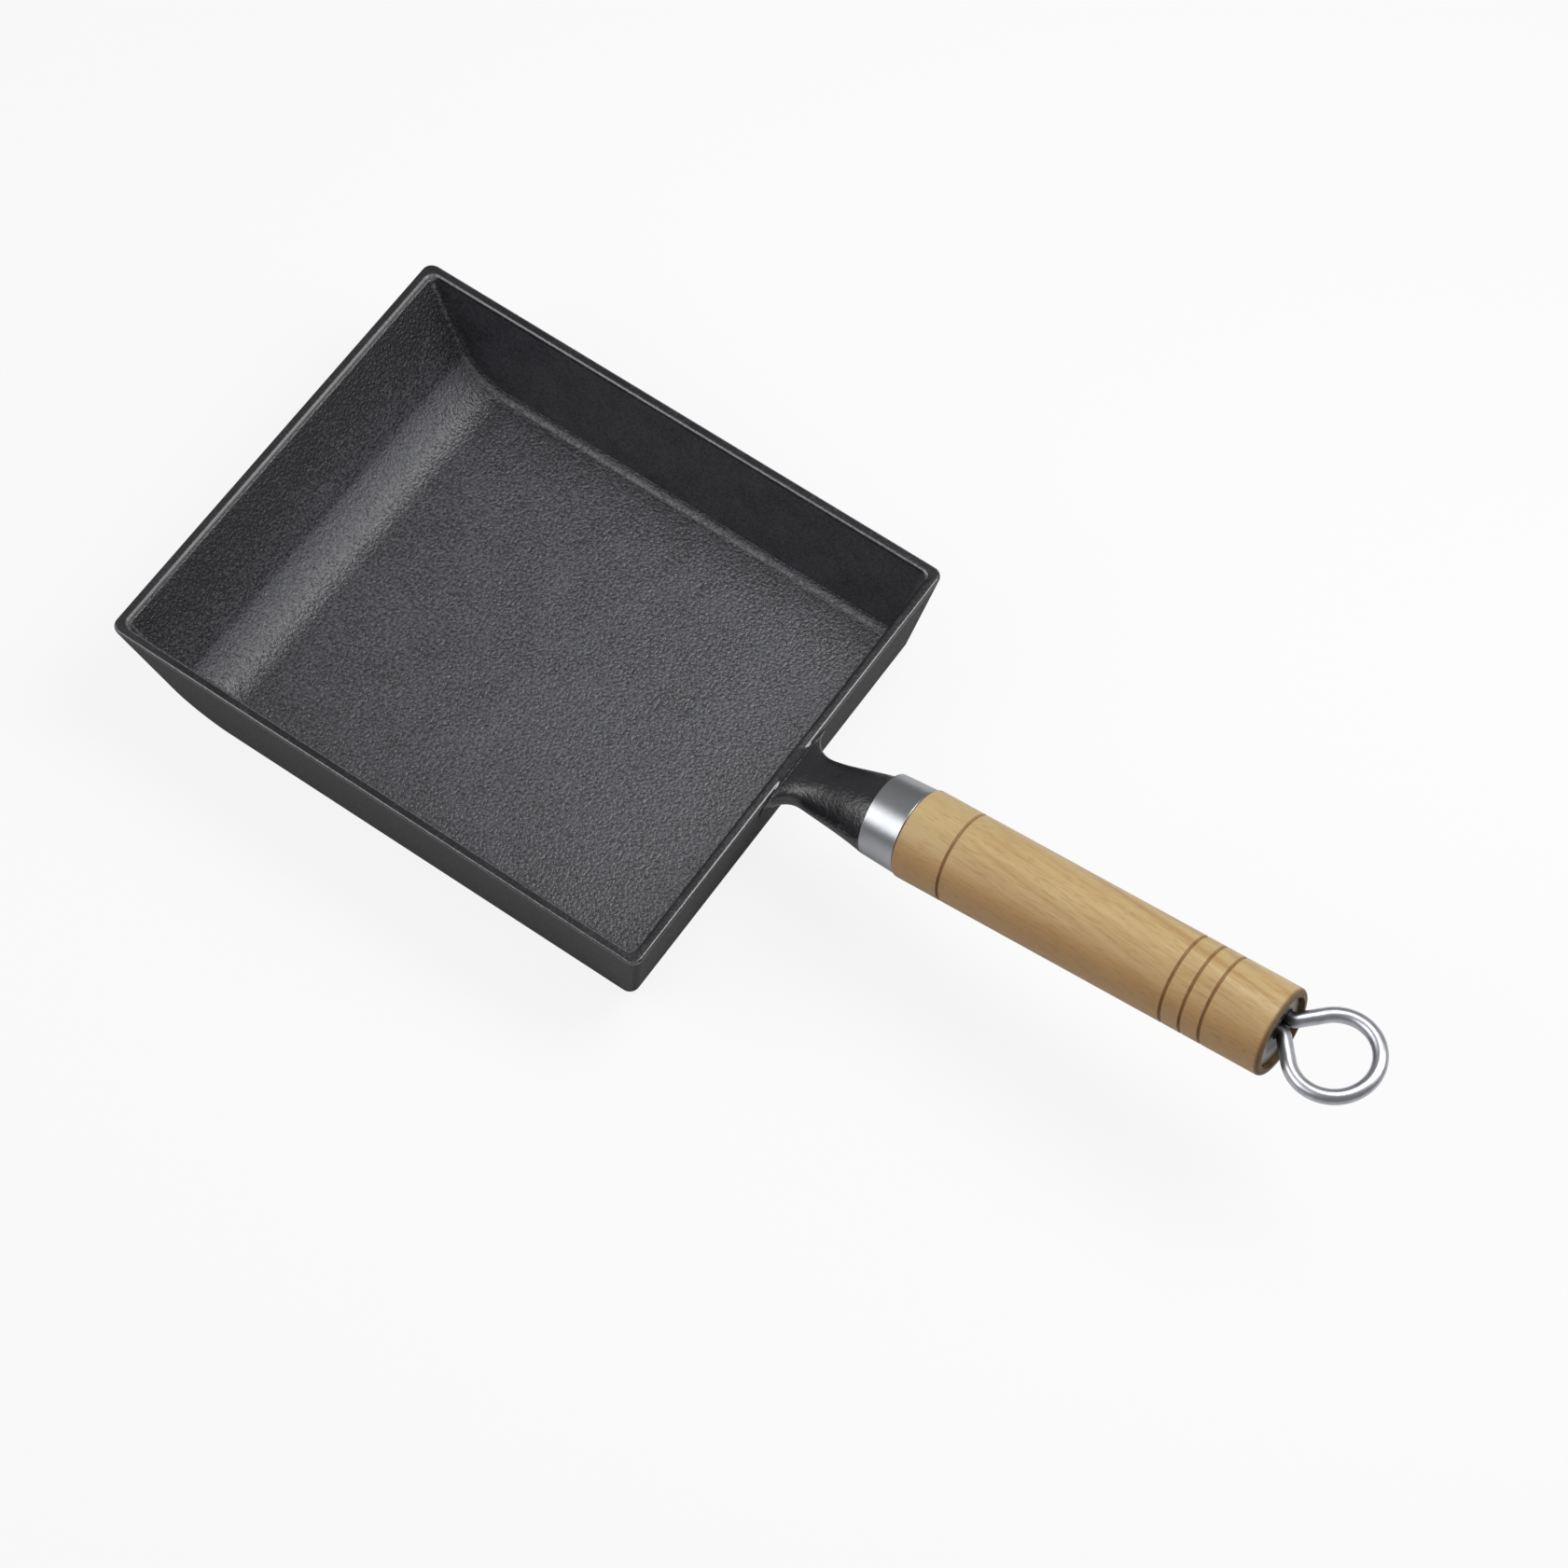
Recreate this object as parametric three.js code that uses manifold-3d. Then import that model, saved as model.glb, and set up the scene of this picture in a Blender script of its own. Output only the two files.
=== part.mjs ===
// Rectangular cast iron omelette pan with a turned wooden grip, a steel ferrule and a wire hanging loop.
// Millimetres and degrees, +Z up. The origin is on the underside of the base, below the middle of the rim.
// +X runs from the sloping front wall to the handle.
import * as THREE from 'three';
import { mergeVertices } from 'three/addons/utils/BufferGeometryUtils.js';
import Module from 'manifold-3d';

// Pan
const RIM_LENGTH = 180.4;
const RIM_WIDTH = 147.5;
const PAN_HEIGHT = 40;
const FLOOR_THICKNESS = 4.6;
const WALL_THICKNESS = 3.2;
const SIDE_DRAFT = 8.5;
const HANDLE_WALL_DRAFT = 10;
const FRONT_DRAFT = 26.5;
const FRONT_SWEEP_RADIUS = 18;
const FLOOR_FILLET_RADIUS = 2.5;
const BASE_EDGE_RADIUS = 3;
const OUTER_CORNER_RADIUS = 3.2;
const INNER_CORNER_RADIUS = 2.8;
const LEAST_CORNER_FRACTION = 0.25;
const RIM_EDGE_RADIUS = 1.1;

// Line of the handle: it leaves the middle of the handle-side rim and rises away from the pan
const HANDLE_TILT = 8;
const HANDLE_RISE = 0.6;

// Cast neck and the tang at its end
const NECK_LENGTH = 29.4;
const NECK_WAIST_WIDTH = 14.4;
const NECK_ROOT_DEPTH = 11.5;
const NECK_ROOT_DROP = 3.6;
const NECK_TOP_STEP = 0.14;
const NECK_FILLET_RADIUS = 8;
const NECK_END_WIDTH = 23.6;
const NECK_END_DEPTH = 21;
const NECK_END_DROP = 1.5;
const NECK_SWELL_POWER = 1.3;
const NECK_DEEPEN_POWER = 1.3;
const NECK_CROWN_POWER = 0.7;
const NECK_FLAT_FRACTION = 0.45;
const NECK_ROOT_SQUARENESS = 2.3;
const TANG_DIAMETER = 12;
const TANG_LENGTH = 22;
const ROD_HOLE_DEPTH = 16;

// Steel ferrule
const FERRULE_LENGTH = 11.3;
const FERRULE_FRONT_DIAMETER = 24.4;
const FERRULE_BACK_DIAMETER = 25.5;
const FERRULE_THICKNESS = 0.9;

// Wooden grip
const GRIP_LENGTH = 115;
const GRIP_FRONT_DIAMETER = 26.3;
const GRIP_BUTT_DIAMETER = 25.7;
const GRIP_FRONT_EDGE_RADIUS = 0.6;
const GRIP_BUTT_EDGE_RADIUS = 1.3;
const GROOVE_WIDTH = 1;
const GROOVE_DEPTH = 0.6;
const FRONT_GROOVE_FROM_SHOULDER = 14.9;
const REAR_GROOVE_COUNT = 3;
const REAR_GROOVE_PITCH = 6;
const LAST_GROOVE_FROM_BUTT = 18;
const BUTT_RECESS_DIAMETER = 21.2;
const BUTT_RECESS_DEPTH = 3.3;
const TAIL_WELL_DEPTH = 9;

// Washer and wire loop
const WASHER_THICKNESS = 1.5;
const WIRE_DIAMETER = 4.3;
const WIRE_LEG_GAP = 0.4;
const EYE_RADIUS = 11.9;
const EYE_OFFSET = 0.9;
const EYE_BEND_RADIUS = 2.6;
const EYE_LEG_LENGTH = 7.2;
const TAIL_LENGTH = 6;
const ROD_END_CLEARANCE = 1.5;

// Clearance between touching pieces, and the fineness of the round surfaces
const FIT_GAP = 0.3;
const ROUND_SEGMENTS = 40;
const CORNER_STEPS = 4;
const SWEEP_STEPS = 8;
const EDGE_STEPS = 3;
const NECK_STEPS = 14;
const NECK_STEP_BUNCHING = 1.5;
const ELLIPSE_SQUARENESS = 2;
const WIRE_SIDES = 12;
const WIRE_STEP_LENGTH = 1.6;

// Places along the handle's line, measured from the handle-side edge of the rim
const neckEnd = NECK_LENGTH;
const tangEnd = neckEnd + TANG_LENGTH;
const ferruleFront = neckEnd + FIT_GAP;
const ferruleBack = ferruleFront + FERRULE_LENGTH;
const noseFront = ferruleFront + FERRULE_THICKNESS + FIT_GAP;
const gripShoulder = ferruleBack + FIT_GAP;
const butt = gripShoulder + GRIP_LENGTH;
const recessFloor = butt - BUTT_RECESS_DEPTH;
const washerFront = recessFloor + FIT_GAP;
const washerBack = washerFront + WASHER_THICKNESS;
const tailTip = washerFront - TAIL_LENGTH;
const tailWellFloor = recessFloor - TAIL_WELL_DEPTH;
const rodHoleFloor = tangEnd - ROD_HOLE_DEPTH;
const rodTip = rodHoleFloor + ROD_END_CLEARANCE;

const wireRadius = WIRE_DIAMETER / 2;
const legPitch = WIRE_DIAMETER + WIRE_LEG_GAP;
const rodHoleRadius = wireRadius + FIT_GAP;
const tailWellRadius = legPitch + wireRadius + 2 * FIT_GAP;
const socketRadius = TANG_DIAMETER / 2 + FIT_GAP;
const recessRadius = BUTT_RECESS_DIAMETER / 2;

const wasm = await Module();
wasm.setup();

const radians = THREE.MathUtils.degToRad;
const { lerp, smoothstep } = THREE.MathUtils;

// Evenly spaced fractions from 0 to 1
function fractions(count) {
  return Array.from({ length: count + 1 }, (_, index) => index / count);
}

// A closed manifold solid from a geometry whose shared corners are merged
function solidOf(geometry) {
  const bare = geometry.clone();
  bare.deleteAttribute('normal');
  bare.deleteAttribute('uv');
  const merged = mergeVertices(bare, 1e-4);
  return new wasm.Manifold(new wasm.Mesh({
    numProp: 3,
    vertProperties: Float32Array.from(merged.attributes.position.array),
    triVerts: Uint32Array.from(merged.index.array),
  }));
}

function geometryOf(solid) {
  const { vertProperties, triVerts } = solid.getMesh();
  const geometry = new THREE.BufferGeometry();
  geometry.setAttribute('position', new THREE.BufferAttribute(vertProperties, 3));
  geometry.setIndex(new THREE.BufferAttribute(triVerts, 1));
  geometry.computeVertexNormals();
  return geometry;
}

// A closed skin through rings of equal point count, with a fan over the first and the last ring
function loft(rings) {
  const count = rings[0].length;
  const points = rings.flat();
  const triangles = [];
  for (let ring = 0; ring + 1 < rings.length; ring += 1) {
    for (let step = 0; step < count; step += 1) {
      const next = (step + 1) % count;
      const low = ring * count;
      const high = low + count;
      triangles.push(low + step, low + next, high + next);
      triangles.push(low + step, high + next, high + step);
    }
  }
  const total = (ring) => ring.reduce((sum, point) => sum.add(point), new THREE.Vector3());
  const middle = (ring) => total(ring).divideScalar(count);
  const firstMiddle = points.push(middle(rings.at(0))) - 1;
  const lastMiddle = points.push(middle(rings.at(-1))) - 1;
  const last = (rings.length - 1) * count;
  for (let step = 0; step < count; step += 1) {
    const next = (step + 1) % count;
    triangles.push(firstMiddle, next, step);
    triangles.push(lastMiddle, last + step, last + next);
  }
  const geometry = new THREE.BufferGeometry().setFromPoints(points);
  geometry.setIndex(triangles);
  geometry.computeVertexNormals();
  return geometry;
}

// How far a drafted wall stands outside its foot at a height, with a fillet where it meets the flat
function wallReach(height, draft, radius) {
  const lean = radians(draft);
  if (height >= radius * (1 - Math.sin(lean))) return height * Math.tan(lean);
  const centre = -radius * (1 - Math.sin(lean)) / Math.cos(lean);
  return centre + Math.sqrt(radius ** 2 - (radius - height) ** 2);
}

// Heights that follow a fillet from the flat up to where the drafted wall begins
function filletHeights(draft, radius) {
  const sweep = radians(90 - draft);
  return fractions(SWEEP_STEPS).map((fraction) => radius * (1 - Math.cos(sweep * fraction)));
}

// One level outline of the pan: a rectangle with round corners, counter-clockwise from above
function panRing({ front, back, side, corner, z }) {
  const centres = [
    [back - corner, side - corner],
    [front + corner, side - corner],
    [front + corner, corner - side],
    [back - corner, corner - side],
  ];
  return centres.flatMap(([x, y], quarter) => fractions(CORNER_STEPS).map((fraction) => {
    const angle = (quarter + fraction) * Math.PI / 2;
    return new THREE.Vector3(x + corner * Math.cos(angle), y + corner * Math.sin(angle), z);
  }));
}

// The level outline of the outside or the inside of the walls, at a height above its own flat
function wallOutline(height, { flat, inset, edgeRadius, sweepRadius, cornerRadius }) {
  const rise = PAN_HEIGHT - RIM_EDGE_RADIUS - flat;
  const stand = (half, draft, radius) => (
    half - inset - rise * Math.tan(radians(draft)) + wallReach(height, draft, radius)
  );
  const side = stand(RIM_WIDTH / 2, SIDE_DRAFT, edgeRadius);
  const tucked = height * Math.tan(radians(SIDE_DRAFT)) - wallReach(height, SIDE_DRAFT, edgeRadius);
  return {
    front: -stand(RIM_LENGTH / 2, FRONT_DRAFT, sweepRadius),
    back: stand(RIM_LENGTH / 2, HANDLE_WALL_DRAFT, edgeRadius),
    side,
    corner: Math.max(cornerRadius - tucked, cornerRadius * LEAST_CORNER_FRACTION),
    z: flat + height,
  };
}

// The outline drawn in by a distance, as the rim's rounded edges need
function drawnIn(outline, distance, z) {
  return {
    front: outline.front + distance,
    back: outline.back - distance,
    side: outline.side - distance,
    corner: outline.corner - distance,
    z,
  };
}

// Pan body: base, outside of the walls, rounded rim, inside of the walls and cooking floor in one skin
function panBody() {
  const outside = {
    flat: 0,
    inset: 0,
    edgeRadius: BASE_EDGE_RADIUS,
    sweepRadius: FRONT_SWEEP_RADIUS + WALL_THICKNESS,
    cornerRadius: OUTER_CORNER_RADIUS,
  };
  const inside = {
    flat: FLOOR_THICKNESS,
    inset: WALL_THICKNESS,
    edgeRadius: FLOOR_FILLET_RADIUS,
    sweepRadius: FRONT_SWEEP_RADIUS,
    cornerRadius: INNER_CORNER_RADIUS,
  };
  const edge = PAN_HEIGHT - RIM_EDGE_RADIUS;
  const climb = ({ flat, sweepRadius }) => [...filletHeights(FRONT_DRAFT, sweepRadius), edge - flat];
  const outlines = (surface) => climb(surface).map((height) => wallOutline(height, surface));
  const outer = outlines(outside);
  const inner = outlines(inside);
  const rounded = (outline, sign) => fractions(EDGE_STEPS).slice(1).map((fraction) => {
    const turn = fraction * Math.PI / 2;
    const distance = sign * RIM_EDGE_RADIUS * (1 - Math.cos(turn));
    return drawnIn(outline, distance, edge + RIM_EDGE_RADIUS * Math.sin(turn));
  });
  return loft([
    ...outer,
    ...rounded(outer.at(-1), 1),
    ...rounded(inner.at(-1), -1).reverse(),
    ...inner.reverse(),
  ].map(panRing));
}

// The handle's own frame: +X along the handle's line, from the rim's edge outwards
function handleFrame() {
  const frame = new THREE.Group();
  frame.position.set(RIM_LENGTH / 2, 0, PAN_HEIGHT + HANDLE_RISE);
  frame.rotation.y = -radians(HANDLE_TILT);
  frame.updateMatrixWorld();
  return frame;
}

// One section of the neck: flat on top where it leaves the rim, round where it meets the ferrule
function neckSection({ centre, lean, halfWidth, above, below, squareness }) {
  const up = new THREE.Vector3(Math.sin(lean), 0, Math.cos(lean));
  return fractions(ROUND_SEGMENTS).slice(0, -1).map((fraction) => {
    const angle = fraction * 2 * Math.PI;
    const power = angle < Math.PI ? ELLIPSE_SQUARENESS / squareness : 1;
    const across = Math.sign(Math.cos(angle)) * Math.abs(Math.cos(angle)) ** power;
    const rise = Math.sign(Math.sin(angle)) * Math.abs(Math.sin(angle)) ** power;
    const height = rise * (rise > 0 ? above : below);
    return centre.clone().addScaledVector(up, height).add(new THREE.Vector3(0, halfWidth * across, 0));
  });
}

// Neck, tang and the rod's hole as one skin from inside the wall to the bottom of the hole
function neckAndTang(frame) {
  const sink = WALL_THICKNESS / 2;
  const root = new THREE.Vector3(RIM_LENGTH / 2, 0, PAN_HEIGHT - NECK_ROOT_DROP);
  const onLine = (distance, drop) => frame.localToWorld(new THREE.Vector3(distance, 0, -drop));
  const third = NECK_LENGTH / 3;
  const line = new THREE.CubicBezierCurve3(
    root,
    root.clone().add(new THREE.Vector3(third, 0, 0)),
    onLine(neckEnd - third, NECK_END_DROP),
    onLine(neckEnd, NECK_END_DROP),
  );
  const rootLean = radians(HANDLE_WALL_DRAFT);
  const endLean = -radians(HANDLE_TILT);
  const sections = fractions(NECK_STEPS).map((fraction) => {
    const along = fraction ** NECK_STEP_BUNCHING;
    const short = Math.max(0, NECK_FILLET_RADIUS - along * NECK_LENGTH);
    const flare = NECK_FILLET_RADIUS - Math.sqrt(NECK_FILLET_RADIUS ** 2 - short ** 2);
    const swell = along ** NECK_SWELL_POWER;
    const deepen = along ** NECK_DEEPEN_POWER;
    const crown = along ** NECK_CROWN_POWER;
    return neckSection({
      centre: line.getPoint(along),
      lean: lerp(rootLean, endLean, smoothstep(along, 0, 1)),
      halfWidth: lerp(NECK_WAIST_WIDTH, NECK_END_WIDTH, swell) / 2 + flare,
      above: lerp(NECK_ROOT_DROP - NECK_TOP_STEP, NECK_END_DEPTH / 2, crown),
      below: lerp(NECK_ROOT_DEPTH - NECK_ROOT_DROP, NECK_END_DEPTH / 2, deepen) + flare,
      squareness: lerp(NECK_ROOT_SQUARENESS, ELLIPSE_SQUARENESS, smoothstep(along, 0, NECK_FLAT_FRACTION)),
    });
  });
  const buried = sections[0].map((point) => point.clone().add(new THREE.Vector3(-sink, 0, 0)));
  const circle = (distance, radius) => neckSection({
    centre: onLine(distance, 0),
    lean: endLean,
    halfWidth: radius,
    above: radius,
    below: radius,
    squareness: ELLIPSE_SQUARENESS,
  });
  return loft([
    buried,
    ...sections,
    circle(neckEnd, TANG_DIAMETER / 2),
    circle(tangEnd, TANG_DIAMETER / 2),
    circle(tangEnd, rodHoleRadius),
    circle(rodHoleFloor, rodHoleRadius),
  ]);
}

function panCasting(frame) {
  return geometryOf(solidOf(panBody()).add(solidOf(neckAndTang(frame))));
}

// A turned piece: points of its half profile as [place along the handle, radius], closed on itself
function turned(profile) {
  const outline = [...profile, profile[0]].map(([place, radius]) => new THREE.Vector2(radius, place));
  return new THREE.LatheGeometry(outline, ROUND_SEGMENTS).rotateZ(-Math.PI / 2);
}

// A rounded outer edge of a turned piece, from the end face to the side or back
function roundedEdge(endFace, radius, edgeRadius, inward) {
  return fractions(EDGE_STEPS).map((fraction) => {
    const turn = fraction * Math.PI / 2;
    return [
      endFace + inward * edgeRadius * (1 - Math.sin(turn)),
      radius - edgeRadius * (1 - Math.cos(turn)),
    ];
  });
}

// Outer radius of the tapered ferrule at a place along the handle
function ferruleRadius(place) {
  const fraction = (place - ferruleFront) / FERRULE_LENGTH;
  return lerp(FERRULE_FRONT_DIAMETER, FERRULE_BACK_DIAMETER, fraction) / 2;
}

// Drawn steel cup with a hole for the tang in its floor
function ferrule() {
  const floorBack = ferruleFront + FERRULE_THICKNESS;
  const holeRadius = TANG_DIAMETER / 2 + FIT_GAP;
  const lip = FERRULE_THICKNESS / 2;
  return turned([
    [ferruleFront, holeRadius],
    [ferruleFront, ferruleRadius(ferruleFront) - lip],
    [ferruleFront + lip, ferruleRadius(ferruleFront + lip)],
    [ferruleBack, ferruleRadius(ferruleBack)],
    [ferruleBack, ferruleRadius(ferruleBack) - FERRULE_THICKNESS],
    [floorBack, ferruleRadius(floorBack) - FERRULE_THICKNESS],
    [floorBack, holeRadius],
  ]);
}

// Places of the burnt grooves: one near the ferrule and a set near the butt
function groovePlaces() {
  const rear = fractions(REAR_GROOVE_COUNT - 1).map((fraction) => (
    butt - LAST_GROOVE_FROM_BUTT - (1 - fraction) * (REAR_GROOVE_COUNT - 1) * REAR_GROOVE_PITCH
  ));
  return [gripShoulder + FRONT_GROOVE_FROM_SHOULDER, ...rear];
}

// Outer radius of the slightly tapered grip at a place along the handle
function gripRadius(place) {
  const fraction = (place - gripShoulder) / GRIP_LENGTH;
  return lerp(GRIP_FRONT_DIAMETER, GRIP_BUTT_DIAMETER, fraction) / 2;
}

// Turned grip: nose inside the ferrule, grooved barrel, recessed butt, and its bores
function woodenGrip() {
  const noseRadius = (place) => ferruleRadius(place) - FERRULE_THICKNESS - FIT_GAP;
  const groove = (place, shift, depth) => [place + shift, gripRadius(place + shift) - depth];
  const grooves = groovePlaces().flatMap((place) => [
    groove(place, -GROOVE_WIDTH / 2, 0),
    groove(place, 0, GROOVE_DEPTH),
    groove(place, GROOVE_WIDTH / 2, 0),
  ]);
  return turned([
    [noseFront, socketRadius],
    [noseFront, noseRadius(noseFront)],
    [gripShoulder, noseRadius(gripShoulder)],
    ...roundedEdge(gripShoulder, gripRadius(gripShoulder), GRIP_FRONT_EDGE_RADIUS, 1).reverse(),
    ...grooves,
    ...roundedEdge(butt, gripRadius(butt), GRIP_BUTT_EDGE_RADIUS, -1),
    [butt, recessRadius],
    [recessFloor, recessRadius],
    [recessFloor, tailWellRadius],
    [tailWellFloor, tailWellRadius],
    [tailWellFloor, rodHoleRadius],
    [tangEnd + FIT_GAP, rodHoleRadius],
    [tangEnd + FIT_GAP, socketRadius],
  ]);
}

// Round washer with one oblong hole that both legs of the wire pass through
function buttWasher() {
  const disc = new THREE.Shape();
  disc.absarc(0, 0, recessRadius - FIT_GAP, 0, 2 * Math.PI);
  const slotRadius = wireRadius + FIT_GAP;
  const slot = new THREE.Path();
  slot.absarc(0, 0, slotRadius, Math.PI, 2 * Math.PI);
  slot.absarc(0, legPitch, slotRadius, 0, Math.PI);
  slot.closePath();
  disc.holes.push(slot);
  const geometry = new THREE.ExtrudeGeometry(disc, {
    depth: WASHER_THICKNESS, bevelEnabled: false, curveSegments: ROUND_SEGMENTS / 2,
  });
  return geometry.rotateZ(-Math.PI / 2).rotateY(Math.PI / 2).rotateX(Math.PI / 2);
}

// The wire's middle line in the plane of the loop, as a curve in space
class WireLine extends THREE.Curve {
  constructor(path) {
    super();
    this.path = path;
  }

  getPoint(fraction, target = new THREE.Vector3()) {
    const point = this.path.getPoint(fraction);
    return target.set(point.x, point.y, 0);
  }
}

// The tail, a bend and a straight leg, the round eye, the other leg and bend, and the long rod
function wirePath() {
  const reach = Math.hypot(EYE_RADIUS + EYE_BEND_RADIUS, EYE_LEG_LENGTH);
  const splay = Math.atan2(EYE_RADIUS + EYE_BEND_RADIUS, EYE_LEG_LENGTH);
  const eyeSide = legPitch / 2 - EYE_OFFSET;
  const tailBendSide = legPitch + EYE_BEND_RADIUS;
  const rodBendSide = -EYE_BEND_RADIUS;
  const between = (bendSide) => Math.sqrt(reach ** 2 - (bendSide - eyeSide) ** 2);
  const rodBend = washerBack + FIT_GAP;
  const eyeCentre = rodBend + between(rodBendSide);
  const tailBend = eyeCentre - between(tailBendSide);
  const tailTurn = splay - Math.asin((tailBendSide - eyeSide) / reach);
  const rodTurn = splay - Math.asin((eyeSide - rodBendSide) / reach);
  const quarter = Math.PI / 2;
  const path = new THREE.Path();
  path.moveTo(tailTip, legPitch);
  path.lineTo(tailBend, legPitch);
  path.absarc(tailBend, tailBendSide, EYE_BEND_RADIUS, -quarter, tailTurn - quarter, false);
  path.absarc(eyeCentre, eyeSide, EYE_RADIUS, tailTurn + quarter, -rodTurn - quarter, true);
  path.absarc(rodBend, rodBendSide, EYE_BEND_RADIUS, quarter - rodTurn, quarter, false);
  path.lineTo(rodTip, 0);
  return path;
}

// Hanging loop and rod, one round wire
function hangingLoop() {
  const path = wirePath();
  const section = new THREE.Shape();
  section.absarc(0, 0, wireRadius, 0, 2 * Math.PI);
  return new THREE.ExtrudeGeometry(section, {
    steps: Math.round(path.getLength() / WIRE_STEP_LENGTH),
    curveSegments: WIRE_SIDES / 2,
    extrudePath: new WireLine(path),
  });
}

function piece(name, geometry, color, roughness, metalness) {
  const mesh = new THREE.Mesh(geometry, new THREE.MeshStandardMaterial({ color, roughness, metalness }));
  mesh.name = name;
  return mesh;
}

const pan = new THREE.Group();
const handle = handleFrame();
pan.add(piece('pan_casting', panCasting(handle), '#4a4a4d', 0.6, 0.5));
handle.add(piece('ferrule', ferrule(), '#a9abae', 0.3, 1));
handle.add(piece('wooden_grip', woodenGrip(), '#b8935f', 0.55, 0));
handle.add(piece('butt_washer', buttWasher(), '#8a8b86', 0.45, 1));
handle.getObjectByName('butt_washer').position.x = washerFront;
handle.add(piece('hanging_loop', hangingLoop(), '#c4c6cc', 0.18, 1));
pan.add(handle);

export default pan;
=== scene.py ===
"""Looks of a rectangular cast iron omelette pan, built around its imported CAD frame.

Everything is in metres in the frame of the CAD model: the origin is on the underside of the base,
+X runs from the sloping front wall to the handle and +Z is up.
"""

import functools
import logging
import math
from collections.abc import Callable, Iterator, Sequence
from dataclasses import dataclass, field
from enum import Enum
from typing import Any, ClassVar, Protocol

import bmesh
import bpy
from mathutils import Matrix, Vector

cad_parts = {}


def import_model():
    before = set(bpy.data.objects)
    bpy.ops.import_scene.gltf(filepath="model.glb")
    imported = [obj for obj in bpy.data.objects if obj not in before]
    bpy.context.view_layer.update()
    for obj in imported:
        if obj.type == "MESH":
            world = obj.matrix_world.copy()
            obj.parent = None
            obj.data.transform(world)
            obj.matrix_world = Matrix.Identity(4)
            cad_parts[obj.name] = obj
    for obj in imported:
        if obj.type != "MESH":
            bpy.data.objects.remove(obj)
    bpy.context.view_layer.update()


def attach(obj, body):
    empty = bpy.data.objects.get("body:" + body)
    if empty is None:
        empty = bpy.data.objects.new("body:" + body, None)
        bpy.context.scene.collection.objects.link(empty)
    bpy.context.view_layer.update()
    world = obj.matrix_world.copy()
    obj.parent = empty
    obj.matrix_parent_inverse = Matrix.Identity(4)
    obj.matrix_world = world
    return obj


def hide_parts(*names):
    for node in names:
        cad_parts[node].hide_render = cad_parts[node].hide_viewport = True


LOG = logging.getLogger("omelette_pan")
MM = 0.001
NEAR = 0.02 * MM
MERGE_DISTANCE = NEAR / 4
SAME_PLACE = NEAR / 10
FULL_TURN = 2 * math.pi
QUARTER_TURN = math.pi / 2
# Cosine above which a face counts as facing along an axis
FACING = 0.9
# Power of a superellipse that is a plain ellipse
ROUND = 2
ROUND_BEVEL = 0.5
NOISE_MEAN = 0.5
WHITE = (1.0, 1.0, 1.0, 1.0)

Colour = tuple[float, float, float]
Point = tuple[float, float, float]
# Place along the handle's line and radius there
ProfilePoint = tuple[float, float]
# Two values that a mask fades between, or the values at either end of a range
Span = tuple[float, float]


class Kind(Enum):
    """What a selection in edit mode is made of."""

    VERTICES = "VERT"
    EDGES = "EDGE"
    FACES = "FACE"

    @property
    def layer(self) -> str:
        """The name of the bmesh sequence that holds this kind."""
        return {"VERT": "verts", "EDGE": "edges", "FACE": "faces"}[self.value]


class Axis(Enum):
    """The axes that a turned piece or a bend goes round."""

    X = (1.0, 0.0, 0.0)
    Z = (0.0, 0.0, 1.0)


class End(Enum):
    """Which end of a turned piece a face closes, as the way from the face into the piece."""

    FRONT = 1
    BACK = -1


class Quality(Enum):
    """What a region of the casting changes."""

    TONE = "tone"
    ROUGH = "rough"
    DEPTH = "depth"


def fractions(count: int) -> list[float]:
    """Evenly spaced fractions from 0 to 1."""
    return [index / count for index in range(count + 1)]


def lerp(start: float, end: float, share: float) -> float:
    """The value at a share of the way from start to end."""
    return start + (end - start) * share


def smoothstep(value: float, low: float, high: float) -> float:
    """A smooth ramp from 0 at low to 1 at high."""
    share = min(1.0, max(0.0, (value - low) / (high - low)))
    return share * share * (3 - 2 * share)


def bezier(start: Vector, first: Vector, second: Vector, end: Vector, share: float) -> Vector:
    """A point at a share of the way along a cubic curve with two handles."""
    rest = 1 - share
    return start * rest**3 + first * 3 * rest**2 * share + second * 3 * rest * share**2 + end * share**3


def pick_out(*pieces: bpy.types.Object) -> None:
    """Selects these objects alone and makes the first one active.

    Args:
        pieces: the objects, at least one.
    """
    pick_out_none()
    for piece in pieces:
        piece.select_set(True)
    bpy.context.view_layer.objects.active = pieces[0]


def pick_out_none() -> None:
    """Leaves nothing selected, so that an operator acts on new geometry alone."""
    bpy.ops.object.select_all(action="DESELECT")


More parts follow.
